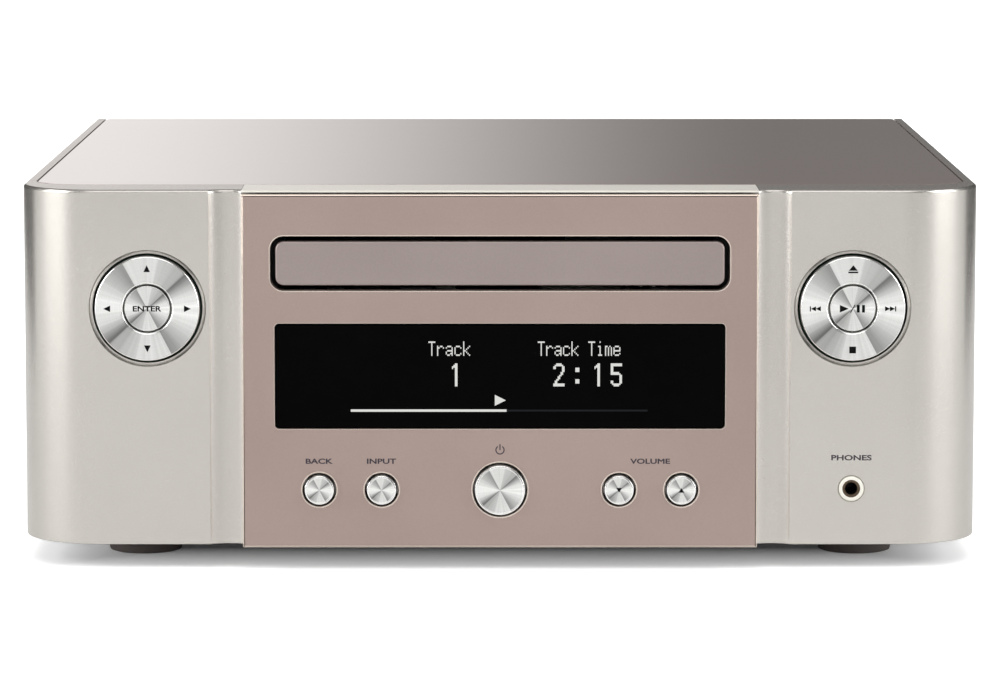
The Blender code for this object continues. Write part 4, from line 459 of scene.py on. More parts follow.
wing_low, wing_high = span("right_wing")
plate_low, plate_high = span("top_plate")
ring_low, ring_high = span("transport_ring")
jack_low, jack_high = span("phones_jack")
RING_X = (ring_low.x + ring_high.x) / 2
RING_Z = (ring_low.z + ring_high.z) / 2
JACK_Z = (jack_low.z + jack_high.z) / 2
WING_FRONT = wing_low.y
panel_low, panel_high = span("centre_panel")
COVE_RADIUS = (COVE_FLAT ** 2 + COVE_DEPTH ** 2) / (2 * COVE_DEPTH)
COVE_CENTRE = (COVE_X, WING_FRONT + COVE_DEPTH - COVE_RADIUS)   # seen from above


def make_wing(side_name, side):
    """A moulded front wing: cove, flat face and round corner, with a recess for its ring."""
    out, back = wing_high.x, wing_high.y
    cove_start = math.degrees(math.asin((WING_FRONT - COVE_CENTRE[1]) / COVE_RADIUS))
    inner = panel_high.x + 0.12
    cove_end = math.degrees(math.acos((inner - 1.0 - COVE_CENTRE[0]) / COVE_RADIUS))
    outline = [(inner - 1.0, back + 2)]
    outline += arc(COVE_CENTRE, COVE_RADIUS, cove_end, cove_start, 40)
    outline += arc((out - CORNER, WING_FRONT + CORNER), CORNER, 270, 360, 60)
    outline += [(out, back + 2)]
    top, bottom = wing_high.z, wing_low.z
    rolled = [(bottom, 0.5), (bottom + 0.15, 0.15), (bottom + 0.5, 0), (top - 1.0, 0),
              (top - 0.62, 0.08), (top - 0.29, 0.29), (top - 0.08, 0.62), (top, 1.0)]
    shape = slab("Z", (outline, rolled))
    hollow = [(wing_low.x + 3, back + 4), (wing_low.x + 3, WING_FRONT + COVE_DEPTH + SHELL),
              (wing_low.x + 8, WING_FRONT + COVE_DEPTH + SHELL)]
    hollow += arc((out - CORNER, WING_FRONT + CORNER), CORNER - SHELL, 270, 360, 30)
    hollow += [(out - SHELL, back + 4)]
    shape = cut(shape, slab("Z", (hollow, ((bottom - 3, 0), (top - SHELL, 0)))))
    shape = cut(shape, block((wing_low.x - 9, back, 0), (out + 9, back + 9, top + 9)))
    shape = cut(shape, block((inner - 9, WING_FRONT - 9, 0), (inner, back + 9, top + 9)))
    pocket = rounded(-plate_high.x - PLATE_GAP, plate_high.x + PLATE_GAP,
                     plate_low.y - PLATE_GAP, back + 60, PLATE_CORNER + PLATE_GAP, 16)
    shape = cut(shape, slab("Z", (pocket, ((plate_low.z - 0.2, 0), (top + 3, 0)))))
    lip = [(0, WING_FRONT - 3), (RING_LIP, WING_FRONT - 3), (RING_LIP, WING_FRONT + 0.04)]
    lip += [(RING_HOLE + 0.1 + (RING_LIP - RING_HOLE - 0.25) * math.cos(math.radians(a)),
             WING_FRONT + 0.06 + 1.0 * math.sin(math.radians(a))) for a in range(0, 91, 10)]
    lip += [(RING_HOLE, WING_FRONT + 1.3), (RING_HOLE, WING_FRONT + 6), (0, WING_FRONT + 6)]
    recess = turned(lip, 128)
    bmesh.ops.translate(recess, vec=(RING_X, 0, RING_Z), verts=recess.verts)
    shape = cut(shape, recess)
    if side > 0:
        bore = turned([(0, WING_FRONT - 3), (JACK_BORE + 0.2, WING_FRONT - 3),
                       (JACK_BORE + 0.2, WING_FRONT), (JACK_BORE, WING_FRONT + 0.2),
                       (JACK_BORE, WING_FRONT + 6), (0, WING_FRONT + 6)], 64)
        bmesh.ops.translate(bore, vec=(RING_X, 0, JACK_Z), verts=bore.verts)
        shape = cut(shape, bore)
    bmesh.ops.scale(shape, vec=(side, 1, 1), verts=shape.verts)
    name = side_name + "_wing"
    piece(name + "_shell", shape, SILVER, UNIT, [name], smooth=24)


def make_side_panel(side_name, side):
    """A side sheet with its rolled upper edge."""
    low, high = span("right_side_panel")
    section = [(137.6, low.z), (139.5, low.z), (140.0, low.z + 0.5)]
    section += arc((139.0, high.z - 1.0), 1.0, 0, 90, 8)
    section += [(low.x, high.z), (low.x, high.z - 2.0), (137.6, high.z - 2.7)]
    shape = slab("Y", (section, ((low.y, 0), (high.y, 0))))
    bmesh.ops.scale(shape, vec=(side, 1, 1), verts=shape.verts)
    name = side_name + "_side_panel"
    piece(name + "_sheet", shape, SILVER, UNIT, [name])


for side_name, side in SIDES:
    make_wing(side_name, side)
    make_side_panel(side_name, side)

# Acrylic plate: tight front corners that follow the wings, polished edge.
EDGE = ((plate_low.z, 0), (plate_high.z - 0.4, 0), (plate_high.z - 0.12, 0.12),
        (plate_high.z, 0.4))
plate = rounded(plate_low.x, plate_high.x, plate_low.y, plate_high.y, 2.0, 6)
front_left = arc((plate_low.x + PLATE_CORNER, plate_low.y + PLATE_CORNER), PLATE_CORNER,
                 180, 270, 20)
front_right = arc((plate_high.x - PLATE_CORNER, plate_low.y + PLATE_CORNER), PLATE_CORNER,
                  270, 360, 20)
piece("top_plate_acrylic", slab("Z", (plate[:14] + front_left + front_right, EDGE)),
      ACRYLIC_TOP, UNIT, ["top_plate"])

# Trim strip: its pale colour is a painted highlight.
bar_low, bar_high = span("top_trim_bar")
section = [(bar_high.y, bar_high.z), (bar_low.y + 0.5, bar_high.z)]
section += arc((bar_low.y + 0.35, bar_high.z - 0.25), 0.25, 100, 180, 6)
section += [(bar_low.y + 0.1, bar_high.z - 0.5), (panel_high.y + 0.3, bar_high.z - 0.5),
            (panel_high.y + 0.3, bar_low.z), (bar_high.y, bar_low.z)]
piece("top_trim_strip", slab("X", (section[::-1], ((bar_low.x, 0), (bar_high.x, 0)))), PALE_TRIM_PAINTED_HIGHLIGHT,
      UNIT, ["top_trim_bar"])

# Centre panel with a chamfered outline and a fine bright edge round every opening.
door_low, door_high = span("tray_door")
window_low, window_high = span("display_window")
CAPS = {"back": 4.3, "input": 4.3, "power": 7.3, "volume_down": 4.3, "volume_up": 4.3}
front, rear = panel_low.y, panel_high.y


def opening_edge(width):
    """Edge profile of an opening, from the panel's face to its back."""
    return ((front, width), (front + 0.3 * width, 0.3 * width), (front + width, 0), (rear, 0))


def cap_centre(name):
    """Centre of a push button, across and up."""
    low, high = span(name + "_button")
    return (low.x + high.x) / 2, (low.z + high.z) / 2


face = rounded(panel_low.x, panel_high.x, panel_low.z, panel_high.z, 0.25, 2)
rims = [(face, ((front, 0.6), (front + 0.6, 0), (rear, 0)))]
slot_loop = rounded(door_low.x - DOOR_GAP, door_high.x + DOOR_GAP, door_low.z - DOOR_GAP,
                    door_high.z + DOOR_GAP, DOOR_CORNER + DOOR_GAP)
rims.append((slot_loop[::-1], opening_edge(0.45)))
window_loop = rounded(window_low.x - WINDOW_GAP, window_high.x + WINDOW_GAP,
                      window_low.z - WINDOW_GAP, window_high.z + WINDOW_GAP,
                      WINDOW_CORNER + WINDOW_GAP)
rims.append((window_loop[::-1], opening_edge(0.2)))
for name, radius in CAPS.items():
    rims.append((circle(cap_centre(name), radius + CAP_GAP)[::-1], opening_edge(0.55)))
piece("centre_panel_plate", slab("Y", *rims), TAUPE, UNIT, ["centre_panel"],
      chamfer=WARM_CUT)

door = rounded(door_low.x, door_high.x, door_low.z, door_high.z, DOOR_CORNER)
piece("tray_door_bar",
      slab("Y", (door, ((door_low.y, 0.6), (door_low.y + 0.1, 0.3), (door_low.y + 0.3, 0.1),
                        (door_low.y + 0.6, 0), (door_high.y, 0)))),
      MAUVE, "tray", ["tray_door"])
window = rounded(window_low.x, window_high.x, window_low.z, window_high.z, WINDOW_CORNER)
piece("display_window_acrylic",
      slab("Y", (window, ((window_low.y, 0.25), (window_low.y + 0.25, 0), (window_high.y, 0)))),
      BLACK_WINDOW, UNIT, ["display_window"])

# Feet: a domed flange over a narrower tread, with a screw deep in its recess.
for end in ("front", "rear"):
    for side_name, side in SIDES:
        node_name = "foot_" + end + "_" + side_name
        low, high = span(node_name)
        centre = ((low.x + high.x) / 2, (low.y + high.y) / 2, 0)
        wide = (high.x - low.x) / 2
        tall = high.z
        profile = [(3.6, 4.6), (3.6, 0.3), (3.9, 0), (9.9, 0), (10.6, 0.25), (10.8, 0.8),
                   (10.8, 2.6), (12.2, 2.9), (12.8, 3.2), (wide, 3.8), (wide, tall - 0.6),
                   (wide - 0.6, tall), (0, tall), (0, 4.6)]
        shape = turned(profile, 72, closed=True)
        for grip in (5.2, 6.6, 8.0, 9.2):
            groove = turned([(grip, -0.5), (grip + 0.5, -0.5), (grip + 0.4, 0.35),
                             (grip + 0.1, 0.35)], 72, closed=True)
            shape = cut(shape, groove)
        bmesh.ops.rotate(shape, matrix=Matrix.Rotation(math.radians(90), 3, "X"),
                         verts=shape.verts)
        piece(node_name + "_rubber", shape, RUBBER, UNIT, [node_name],
              origin=centre, smooth=40)


# ---------------------------------------------------------------------------------------
# Lettering and symbols
# ---------------------------------------------------------------------------------------
INK = 0.03                        # how far print stands out
SUNK = 0.06                       # how far it reaches into the face below


def print_on(marks, loops, face_at):
    """Lay flat symbols on a front face whose depth at (x, z) is face_at(x, z)."""
    for loop in loops:
        mark = slab("Y", (loop, ((-INK, 0), (SUNK, 0))))
        for vertex in mark.verts:
            vertex.co.y += face_at(vertex.co.x, vertex.co.z)
        add_to(marks, mark)


def word(text, centre, width, height, face_at, facing=-1):
    """Wide capital lettering, width by height, centred on (x, z)."""
    curve = bpy.data.curves.new("lettering", "FONT")
    curve.body = text
    curve.extrude = 0.01
    curve.bevel_depth = 0.028
    curve.bevel_resolution = 0
    curve.resolution_u = 4
    holder = bpy.data.objects.new("lettering", curve)
    bpy.context.scene.collection.objects.link(holder)
    drawn = holder.evaluated_get(bpy.context.evaluated_depsgraph_get())
    shape = bmesh.new()
    shape.from_mesh(drawn.to_mesh())
    bpy.data.objects.remove(holder)
    bpy.data.curves.remove(curve)
    left, right = (pick(v.co.x for v in shape.verts) for pick in (min, max))
    low, high = (pick(v.co.y for v in shape.verts) for pick in (min, max))
    for vertex in shape.verts:
        x = centre[0] - facing * (vertex.co.x - (left + right) / 2) * width / (right - left)
        z = centre[1] + (vertex.co.y - (low + high) / 2) * height / (high - low)
        front_side = vertex.co.z > 0
        vertex.co = (x, face_at(x, z) + facing * (INK if front_side else -SUNK), z)
    return shape


def on_level(depth):
    """A flat face at one depth."""
    return lambda x, z: depth


def shifted(loop, x, z, scale=1.0):
    """Move and scale a small symbol."""
    return [(x + u * scale, z + v * scale) for u, v in loop]


def triangle(way, length, half):
    """A solid arrowhead pointing right, left, up or down, centred on the origin."""
    points = [(-length / 2, -half), (length / 2, 0), (-length / 2, half)]
    turn = {"right": 0, "up": 90, "left": 180, "down": 270}[way]
    c, s = math.cos(math.radians(turn)), math.sin(math.radians(turn))
    return [(u * c - v * s, u * s + v * c) for u, v in points]


def bar(x, z, wide, tall):
    """An upright rectangle as an anticlockwise loop."""
    return [(x - wide / 2, z - tall / 2), (x + wide / 2, z - tall / 2),
            (x + wide / 2, z + tall / 2), (x - wide / 2, z + tall / 2)]


# ---------------------------------------------------------------------------------------
# Rings, caps and the headphone socket
# ---------------------------------------------------------------------------------------
def depth_on(profile, centre):
    """The face depth of a turned piece, read from its profile, at a point (x, z)."""
    def depth(x, z):
        reach = math.hypot(x - centre[0], z - centre[1])
        for (r0, y0), (r1, y1) in zip(profile, profile[1:]):
            if min(r0, r1) <= reach <= max(r0, r1) and r0 != r1:
                return y0 + (y1 - y0) * (reach - r0) / (r1 - r0)
        return profile[0][1]
    return depth


ring_tip = ring_low.y
RING_FACE = [(7.55, ring_tip + 0.72), (8.2, ring_tip + 0.62), (10.5, ring_tip + 0.42),
             (13.0, ring_tip + 0.17), (14.75, ring_tip)]
RING_PROFILE = ([(7.0, ring_tip + 3.4 + 1.2), (7.0, ring_tip + 1.3), (7.1, ring_tip + 1.05)]
                + RING_FACE + [(14.95, ring_tip + 0.05), (15.12, ring_tip + 0.2),
                               (15.2, ring_tip + 0.45), (15.2, ring_tip + 4.6)])
CENTRE_FACE = [(0, ring_tip + 0.6), (3.0, ring_tip + 0.53), (5.6, ring_tip + 0.38),
               (6.1, ring_tip + 0.35)]


def make_four_way(ring_name, button_name, side, ring_marks, button_marks):
    """A dished ring with its symbols, and the push button in its middle."""
    centre = (side * RING_X, 0, RING_Z)
    piece(ring_name + "_metal", turned(RING_PROFILE, 128, closed=True), SPUN, ring_name,
          [ring_name], origin=centre, chamfer=BRIGHT_CUT)
    back = span(button_name)[1].y
    profile = CENTRE_FACE + [
        (6.4, ring_tip + 0.42), (6.55, ring_tip + 0.6), (6.6, ring_tip + 0.9),
        (6.6, WING_FRONT + 4.0), (7.6, WING_FRONT + 4.0), (7.6, WING_FRONT + 4.9),
        (2.0, WING_FRONT + 4.9), (2.0, back), (0, back)]
    piece(button_name + "_metal", turned(profile, 96), SPUN, button_name, [button_name],
          origin=centre, chamfer=BRIGHT_CUT)
    spot = (side * RING_X, RING_Z)
    marks = bmesh.new()
    print_on(marks, [shifted(loop, *spot) for loop in ring_marks], depth_on(RING_FACE, spot))
    piece(ring_name + "_symbols", marks, DARK_INK, ring_name)
    marks = bmesh.new()
    if isinstance(button_marks, str):
        add_to(marks, word(button_marks, spot, 8.3, 1.6, depth_on(CENTRE_FACE, spot)))
    else:
        print_on(marks, [shifted(loop, *spot) for loop in button_marks],
                 depth_on(CENTRE_FACE, spot))
    piece(button_name + "_symbols", marks, DARK_INK, button_name)


REACH = 11.7                      # from a ring's centre to its symbols
arrows = [shifted(triangle(way, 2.0, 0.95), REACH * x, REACH * z)
          for way, x, z in (("up", 0, 1), ("down", 0, -1), ("left", -1, 0), ("right", 1, 0))]
skips = []
for way, sign in (("left", -1), ("right", 1)):
    skips += [shifted(triangle(way, 1.5, 0.72), sign * (REACH - 0.6 + step), 0)
              for step in (-1.05, 0.35)]
    skips.append(bar(sign * (REACH + 0.65), 0, 0.32, 1.5))
symbols = skips + [shifted(triangle("up", 1.6, 1.3), 0, REACH + 0.2),
                   bar(0, REACH - 1.1, 2.9, 0.47), bar(0, -12.0, 1.95, 1.95)]
play_pause = [shifted(triangle("right", 2.6, 1.1), -2.5, 0), bar(1.55, 0, 0.85, 2.2),
              bar(3.05, 0, 0.85, 2.2),
              [(-0.85, -1.15), (-0.55, -1.15), (0.75, 1.15), (0.45, 1.15)]]
make_four_way("nav_ring", "enter_button", -1, arrows, "ENTER")
make_four_way("transport_ring", "play_button", 1, symbols, play_pause)

for name, radius in CAPS.items():
    low, high = span(name + "_button")
    x, z = cap_centre(name)
    tip, back = low.y, high.y
    flange = panel_high.y + 2.8
    profile = [(0, tip + 0.34), (radius * 0.5, tip + 0.26), (radius - 0.75, tip + 0.08),
               (radius - 0.6, tip), (radius - 0.45, tip), (radius - 0.12, tip + 0.2),
               (radius, tip + 0.55), (radius, flange), (radius + 1.3, flange),
               (radius + 1.3, flange + 0.9), (2.0, flange + 0.9), (2.0, back), (0, back)]
    piece(name + "_cap", turned(profile, 96), SPUN, name + "_button", [name + "_button"],
          origin=(x, 0, z), chamfer=BRIGHT_CUT)
    if name.startswith("volume"):
        way = "down" if name == "volume_down" else "up"
        marks = bmesh.new()
        print_on(marks, [shifted(triangle(way, 1.4, 0.85), x, z)],
                 depth_on(profile[:3], (x, z)))
        piece(name + "_cap_symbol", marks, DARK_INK, name + "_button")

legends = bmesh.new()
LEGEND_Z = 32.2                   # the words over the small caps
POWER_Z = 35.5                    # the symbol over the power cap
PHONES_Z = 32.8                   # the word over the headphone socket
on_panel = on_level(panel_low.y)
for text, x, wide in (("BACK", cap_centre("back")[0], 7.9),
                      ("INPUT", cap_centre("input")[0], 8.5), ("VOLUME", 43.6, 11.6)):
    add_to(legends, word(text, (x, LEGEND_Z), wide, 1.55, on_panel))
power_arc = arc((0, POWER_Z), 1.35, 122, 418, 28) + arc((0, POWER_Z), 1.02, 418, 122, 28)
print_on(legends, [power_arc, bar(0, POWER_Z + 0.85, 0.34, 1.7)], on_panel)
piece("panel_legends", legends, GREY_INK, UNIT)
phones = bmesh.new()
add_to(phones, word("PHONES", (RING_X, PHONES_Z), 11.75, 1.6, on_level(WING_FRONT)))
piece("phones_legend", phones, GREY_INK, UNIT)

tip = jack_low.y
spot = (RING_X, 0, JACK_Z)
nut = turned([(2.62, tip + 1.2), (2.62, tip + 0.12), (2.74, tip), (3.3, tip), (3.5, tip + 0.08),
              (3.65, tip + 0.3), (3.65, tip + 3.2), (2.62, tip + 3.2)], 72, closed=True)
piece("phones_jack_nut", nut, WHITE_NYLON, UNIT, ["phones_jack"], origin=spot)
sleeve = turned([(1.85, tip + 0.9), (2.6, tip + 0.9), (2.6, tip + 3.0), (1.85, tip + 9.0)], 72,
                closed=True)
piece("phones_jack_sleeve", sleeve, BRONZE, UNIT, origin=spot)
body = turned([(1.84, tip + 3.1), (5.0, tip + 3.2), (5.0, jack_high.y), (0, jack_high.y),
               (0, jack_high.y - 1.5), (1.84, jack_high.y - 1.5)], 48, closed=True)
piece("phones_jack_body", body, BLACK_ABS, UNIT, origin=spot)

# ---------------------------------------------------------------------------------------
# Rear: binding posts, socket rings, screws and labels
# ---------------------------------------------------------------------------------------
RIDGES = 24                       # knurled ridges round a speaker cap
SCREW_X = 129.0                   # rear screws, from the middle of the player
SCREW_LOW, SCREW_HIGH = 14.0, 100.0
PHONO_HALF = 9.0                  # from the middle of the phono sockets to each of them
REAR_LETTER = 2.4                 # height of the rear lettering
SHEET = span("rear_panel")[1].y   # outer face of the rear sheet


def middle_of(name):
    """Centre of a node seen from the front or the rear, across and up."""
    low, high = span(name)
    return (low.x + high.x) / 2, (low.z + high.z) / 2


rear_print = bmesh.new()
on_sheet = on_level(SHEET)
for side_name, side in SIDES:
    for pole, tint in (("plus", RED_ABS), ("minus", BLACK_ABS)):
        name = "speaker_cap_" + side_name + "_" + pole
        low, high = span(name)
        x, z = middle_of(name)
        skirt, end = (high.x - low.x) / 2, high.y
        grip = skirt - 0.6
        profile = [(2.35, low.y), (skirt - 0.3, low.y), (skirt, low.y + 0.3),
                   (skirt, low.y + 2.6), (skirt - 0.3, low.y + 2.9), (grip - 0.4, low.y + 3.1),
                   (grip, low.y + 3.4), (grip, end - 1.0), (grip - 0.25, end - 0.3),
                   (grip - 0.9, end), (2.9, end), (2.5, end - 0.3), (2.35, end - 1.0)]
        shape = turned(profile, 4 * RIDGES, closed=True)
        for vertex in shape.verts:
            reach = math.hypot(vertex.co.x, vertex.co.z)
            if reach > grip - 0.3 and low.y + 3.3 < vertex.co.y < end - 0.9:
                bearing = math.atan2(vertex.co.z, vertex.co.x)
                pinch = 1 - 0.02 * (1 + math.cos(RIDGES * bearing))
                vertex.co.x *= pinch
                vertex.co.z *= pinch
        piece(name + "_knob", shape, tint, name, [name], origin=(x, 0, z),
              smooth=50)

phono_x, phono_z = middle_of("rca_jacks")
for label, tint, column in (("white", WHITE_ABS, -1), ("red", RED_ABS, 1)):
    for row in (-1, 1):
        x, z = phono_x + column * PHONO_HALF, phono_z + row * PHONO_HALF
        collar = turned([(4.3, SHEET + 2.6), (4.3, SHEET + 0.05), (5.6, SHEET + 0.05),
                         (5.6, SHEET + 1.9), (5.1, SHEET + 2.6)], 64, closed=True)
        piece("phono_collar_%s_%.0f" % (label, z), collar, tint, UNIT, origin=(x, 0, z))


def rear_screw(name, x, z):
    """A pan-head screw with a cross slot, driven into the rear sheet."""
    head = turned([(0, SHEET + 0.02), (2.9, SHEET + 0.02), (2.9, SHEET + 0.8),
                   (2.3, SHEET + 1.5), (0, SHEET + 1.8)], 32)
    for wide, tall in ((3.0, 0.6), (0.6, 3.0)):
        head = cut(head, block((-wide / 2, SHEET + 0.8, -tall / 2),
                               (wide / 2, SHEET + 3, tall / 2)))
    piece(name, head, ZINC, UNIT, origin=(x, 0, z))


for side_name, side in SIDES:
    rear_screw("rear_screw_upper_" + side_name, side * SCREW_X, SCREW_HIGH)
    rear_screw("rear_screw_lower_" + side_name, side * SCREW_X, SCREW_LOW)
rear_screw("rear_screw_lower_middle", 0.0, SCREW_LOW)

for text, (x, z), wide in (
        ("SPEAKERS", (middle_of("speaker_terminals")[0], 80.4), 24.0),
        ("AUDIO IN", (phono_x, 70.0), 17.0),
        ("NETWORK", (middle_of("network_socket")[0], 54.6), 16.0),
        ("ANTENNA", (middle_of("antenna_socket")[0], 69.6), 15.5),
        ("AC IN", (middle_of("mains_inlet")[0], 51.4), 11.0),
        ("L", (phono_x - PHONO_HALF, phono_z), 1.7),
        ("R", (phono_x + PHONO_HALF, phono_z), 2.0)):
    add_to(rear_print, word(text, (x, z), wide, REAR_LETTER, on_sheet, facing=1))
piece("rear_legends", rear_print, WHITE_INK, UNIT)

# ---------------------------------------------------------------------------------------
# Display contents
# ---------------------------------------------------------------------------------------
LETTERS = {
    "T": "##### ..#.. ..#.. ..#.. ..#.. ..#.. ..#.. ..#.. ..#.. ..#..",
    "r": "..... ..... ..... #.##. ##..# #.... #.... #.... #.... #....",
    "a": "..... ..... ..... .###. #...# ....# .#### #...# #..## .##.#",
    "c": "..... ..... ..... .###. #...# #.... #.... #.... #...# .###.",
    "k": "#.... #.... #.... #...# #..#. #.#.. ##... #.#.. #..#. #...#",
    "i": "..#.. ..... ..... .##.. ..#.. ..#.. ..#.. ..#.. ..#.. .###.",
    "m": "..... ..... ..... ##.#. #.#.# #.#.# #.#.# #.#.# #.#.# #.#.#",
    "e": "..... ..... ..... .###. #...# #...# ##### #.... #...# .###.",
    " ": "..... ..... ..... ..... ..... ..... ..... ..... ..... .....",
    "1": "....##.. ...###.. ..####.. ..#.##.. ....##.. ....##.. ....##.. ....##.. "
         "....##.. ....##.. ....##.. ....##.. ....##.. ....##.. ....##.. ....##..",
    "2": "..####.. .######. ##....## ##....## ......## ......## .....##. .....##. "
         "....##.. ...##... ...##... ..##.... .##..... .##..... ######## ########",
    "5": "######## ######## ##...... ##...... ##...... ##...... ######.. #######. "
         "......## ......## ......## ......## ##....## ##....## .######. ..####..",
    ":": "........ ........ ........ ..###... ..###... ..###... ........ ........ "
         "........ ........ ........ ..###... ..###... ..###... ........ ........",
}
DOT = 0.42                        # one dot of the display
DOT_GAP = 0.1                     # dark gap between two runs of dots
LINE_DROP = 4.9                   # from the window's upper edge to the captions
FIGURE_DROP = 6.4                 # from the captions to the figures
BAR_RISE = 5.0                    # from the window's lower edge to the progress bar
MARK_RISE = 8.0                   # and to the arrowhead over it


def dots(text, left, top, pitch, shape):
    """Write with the display's own dots, each run of lit dots as one strip."""
    for index, letter in enumerate(text):
        for row, line in enumerate(LETTERS[letter].split()):
            column = 0
            while column < len(line):
                run = len(line[column:]) - len(line[column:].lstrip("#"))
                if run:
                    x = left + index * pitch + (column + run / 2) * DOT
                    strip = bar(x, top - (row + 0.5) * DOT, run * DOT - DOT_GAP, DOT)
                    print_on(shape, [strip], on_glass)
                column += max(run, 1)


on_glass = on_level(window_low.y)
bright = bmesh.new()
top_line = window_high.z - LINE_DROP
dots("Track", -20.8, top_line, 6 * DOT, bright)
dots("Track Time", 10.9, top_line, 5.8 * DOT, bright)
dots("1", -14.8, top_line - FIGURE_DROP, 4.9, bright)
dots("2:15", 15.4, top_line - FIGURE_DROP, 5.55, bright)
print_on(bright, [shifted(triangle("right", 3.2, 1.6), 0.1, window_low.z + MARK_RISE),
                  bar(-20.7, window_low.z + BAR_RISE, 45.2, 0.7)], on_glass)
piece("display_bright_dots", bright, BRIGHT_DOTS, UNIT)
dim = bmesh.new()
print_on(dim, [bar(22.4, window_low.z + BAR_RISE, 40.8, 0.5)], on_glass)
piece("display_dim_line", dim, DIM_DOTS, UNIT)

# ---------------------------------------------------------------------------------------
# Studio and camera
# ---------------------------------------------------------------------------------------
scene = bpy.context.scene
scene.view_settings.view_transform = "Standard"

sky = bpy.data.worlds.new("studio_walls")
scene.world = sky
sky.use_nodes = True
sky.node_tree.nodes.clear()
seen = add_node(sky.node_tree, "LightPath").outputs["Is Camera Ray"]
walls = add_node(sky.node_tree, "Mix", {0: seen, 6: (0.27, 0.27, 0.27, 1), 7: (1, 1, 1, 1)},
                 data_type="RGBA")
glow = add_node(sky.node_tree, "Background", {"Color": walls.outputs[2]})
add_node(sky.node_tree, "OutputWorld", {"Surface": glow.outputs[0]})


def softbox(name, place, aim, width, height, radiance):
    """A soft rectangular light of an even brightness, turned to face a point, in metres."""
    lamp = bpy.data.lights.new(name, "AREA")
    lamp.shape = "RECTANGLE"
    lamp.size, lamp.size_y = width, height
    lamp.energy = radiance * math.pi * width * height
    holder = bpy.data.objects.new(name, lamp)
    holder.location = place
    holder.rotation_euler = (Vector(aim) - Vector(place)).to_track_quat("-Z", "Y").to_euler()
    holder.visible_camera = False
    scene.collection.objects.link(holder)


softbox("softbox_overhead", (0, -0.9, 2.3), (0, -0.3, 0), 2.2, 3.0, 1.6)
softbox("softbox_left", (-1.95, -0.72, 0.85), (0, -0.1, 0.6), 1.35, 1.5, 5.9)
softbox("softbox_right", (1.95, -0.72, 0.85), (0, -0.1, 0.6), 1.35, 1.5, 5.5)
softbox("softbox_front", (-0.45, -3.2, 0.9), (0, 0, 0.4), 3.0, 1.6, 0.85)


def stage_sheet(name, corners, finish):
    """A flat sheet of the studio, which isn't part of the player."""
    mesh = bpy.data.meshes.new(name)
    mesh.from_pydata(corners, [], [tuple(range(len(corners)))])
    mesh.materials.append(finish)
    sheet = bpy.data.objects.new(name, mesh)
    scene.collection.objects.link(sheet)
    return sheet


# Matt white paper sweep with a painted glow that only the camera sees: faint next to the player
# and rising away from it, so it paints how the player's shadow fades and keeps the far floor
# white.
PAPER, tree, place = blank("matt_white_paper_painted_glow")
size = add_node(tree, "VectorMath", {0: place}, operation="ABSOLUTE")
edges = add_node(tree, "VectorMath", {0: size.outputs[0], 1: (0.140, 0.148, 0)},
                 operation="SUBTRACT")
away = add_node(tree, "SeparateXYZ", {0: edges.outputs[0]})
gap = add_node(tree, "Math", {0: away.outputs["X"], 1: away.outputs["Y"]}, operation="MAXIMUM")
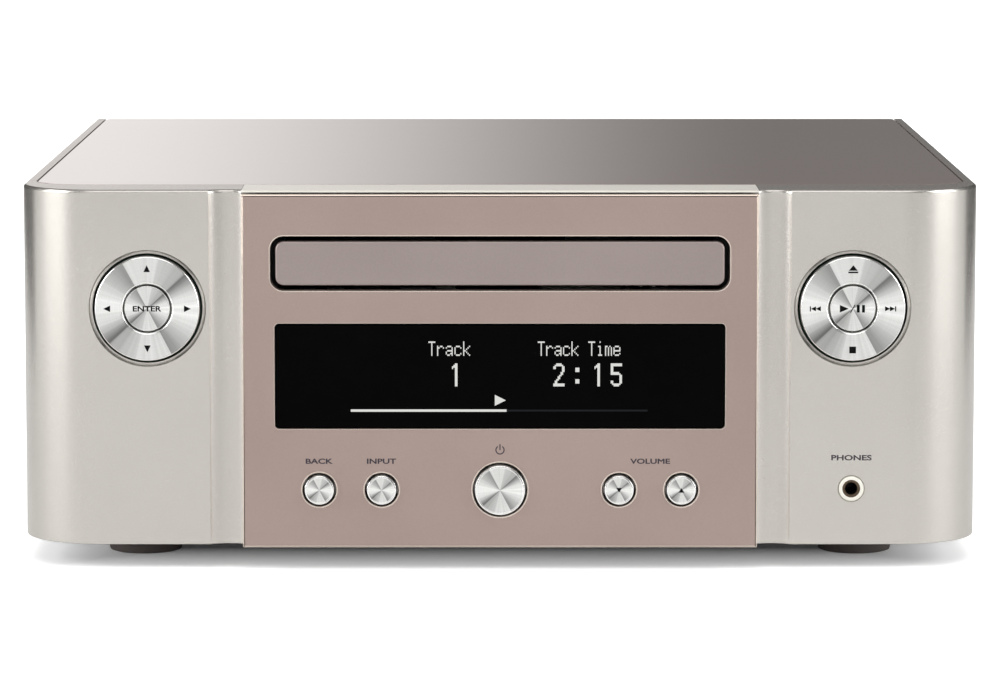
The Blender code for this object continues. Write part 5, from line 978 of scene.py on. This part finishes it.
# Painted shadow edge: the glow is faint at the player's footprint and rises within a few
# centimetres.
near = add_node(tree, "MapRange", {0: gap.outputs[0], 1: -0.040, 2: 0.012, 3: 0.02, 4: 0.62})
far = add_node(tree, "MapRange", {0: gap.outputs[0], 1: 0.05, 2: 0.4, 3: 0.0, 4: 0.3},
               interpolation_type="SMOOTHSTEP")
glow = add_node(tree, "Math", {0: near.outputs[0], 1: far.outputs[0]}, operation="ADD")
looked_at = add_node(tree, "LightPath").outputs["Is Camera Ray"]
painted_floor_glow = add_node(tree, "Math", {0: glow.outputs[0], 1: looked_at}, operation="MULTIPLY")
fibre = add_node(tree, "TexNoise", {"Vector": place, "Scale": 900.0, "Detail": 2.0})
felt = add_node(tree, "Bump", {"Height": fibre.outputs[0], "Distance": 0.02 * MM})
skin = add_node(tree, "BsdfPrincipled", {
    "Base Color": linear("#F4F4F4"), "Roughness": 0.9, "Specular IOR Level": 0.1,
    "Emission Color": (1, 1, 1, 1), "Emission Strength": painted_floor_glow.outputs[0],
    "Normal": felt.outputs[0]})
add_node(tree, "OutputMaterial", {"Surface": skin.outputs[0]})
stage_sheet("studio_floor", [(8 * math.cos(a * math.pi / 32), 8 * math.sin(a * math.pi / 32), 0)
                             for a in range(64)], PAPER)

# A card behind the player, bright on the left and dark on the right, for the top to mirror.
CARD, tree, place = blank("graded_reflector_card")
across = add_node(tree, "SeparateXYZ", {0: place})
grade = add_node(tree, "MapRange", {0: across.outputs["X"], 1: -0.38, 2: 0.24,
                                    3: 0.90, 4: 0.17}, interpolation_type="SMOOTHSTEP")
shine = add_node(tree, "Emission", {"Color": (1.0, 0.96, 0.95, 1),
                                    "Strength": grade.outputs[0]})
add_node(tree, "OutputMaterial", {"Surface": shine.outputs[0]})

# Black flags beside it, which keep the far edges of the wings dark.
FLAG = grained("black_flag_cloth", "#050505", "#0A0A0A", 1.0, 0.05, (0.8, 0.9),
               **{"Specular IOR Level": 0.0})
for name, corners, finish in (
        ("reflector_card", ((-0.6, 2.5, 0.02), (0.6, 2.5, 0.02), (0.6, 2.5, 1.6),
                            (-0.6, 2.5, 1.6)), CARD),
        ("flag_left", ((-0.62, 0.1, 0), (-0.62, 2.4, 0), (-0.62, 2.4, 0.9),
                       (-0.62, 0.1, 0.9)), FLAG),
        ("flag_right", ((0.62, 0.1, 0), (0.62, 2.4, 0), (0.62, 2.4, 0.9),
                        (0.62, 0.1, 0.9)), FLAG)):
    sheet = stage_sheet(name, corners, finish)
    sheet.visible_camera = False
    sheet.visible_diffuse = False
    sheet.visible_shadow = False

lens = bpy.data.cameras.new("camera")
lens.sensor_width = 36.0
lens.lens = 175.0
lens.clip_start, lens.clip_end = 0.05, 30.0
camera = bpy.data.objects.new("camera", lens)
camera.location = (0, -1.548, 0.233)
camera.rotation_euler = (math.radians(90 - 6.863), 0, 0)
scene.collection.objects.link(camera)
scene.camera = camera
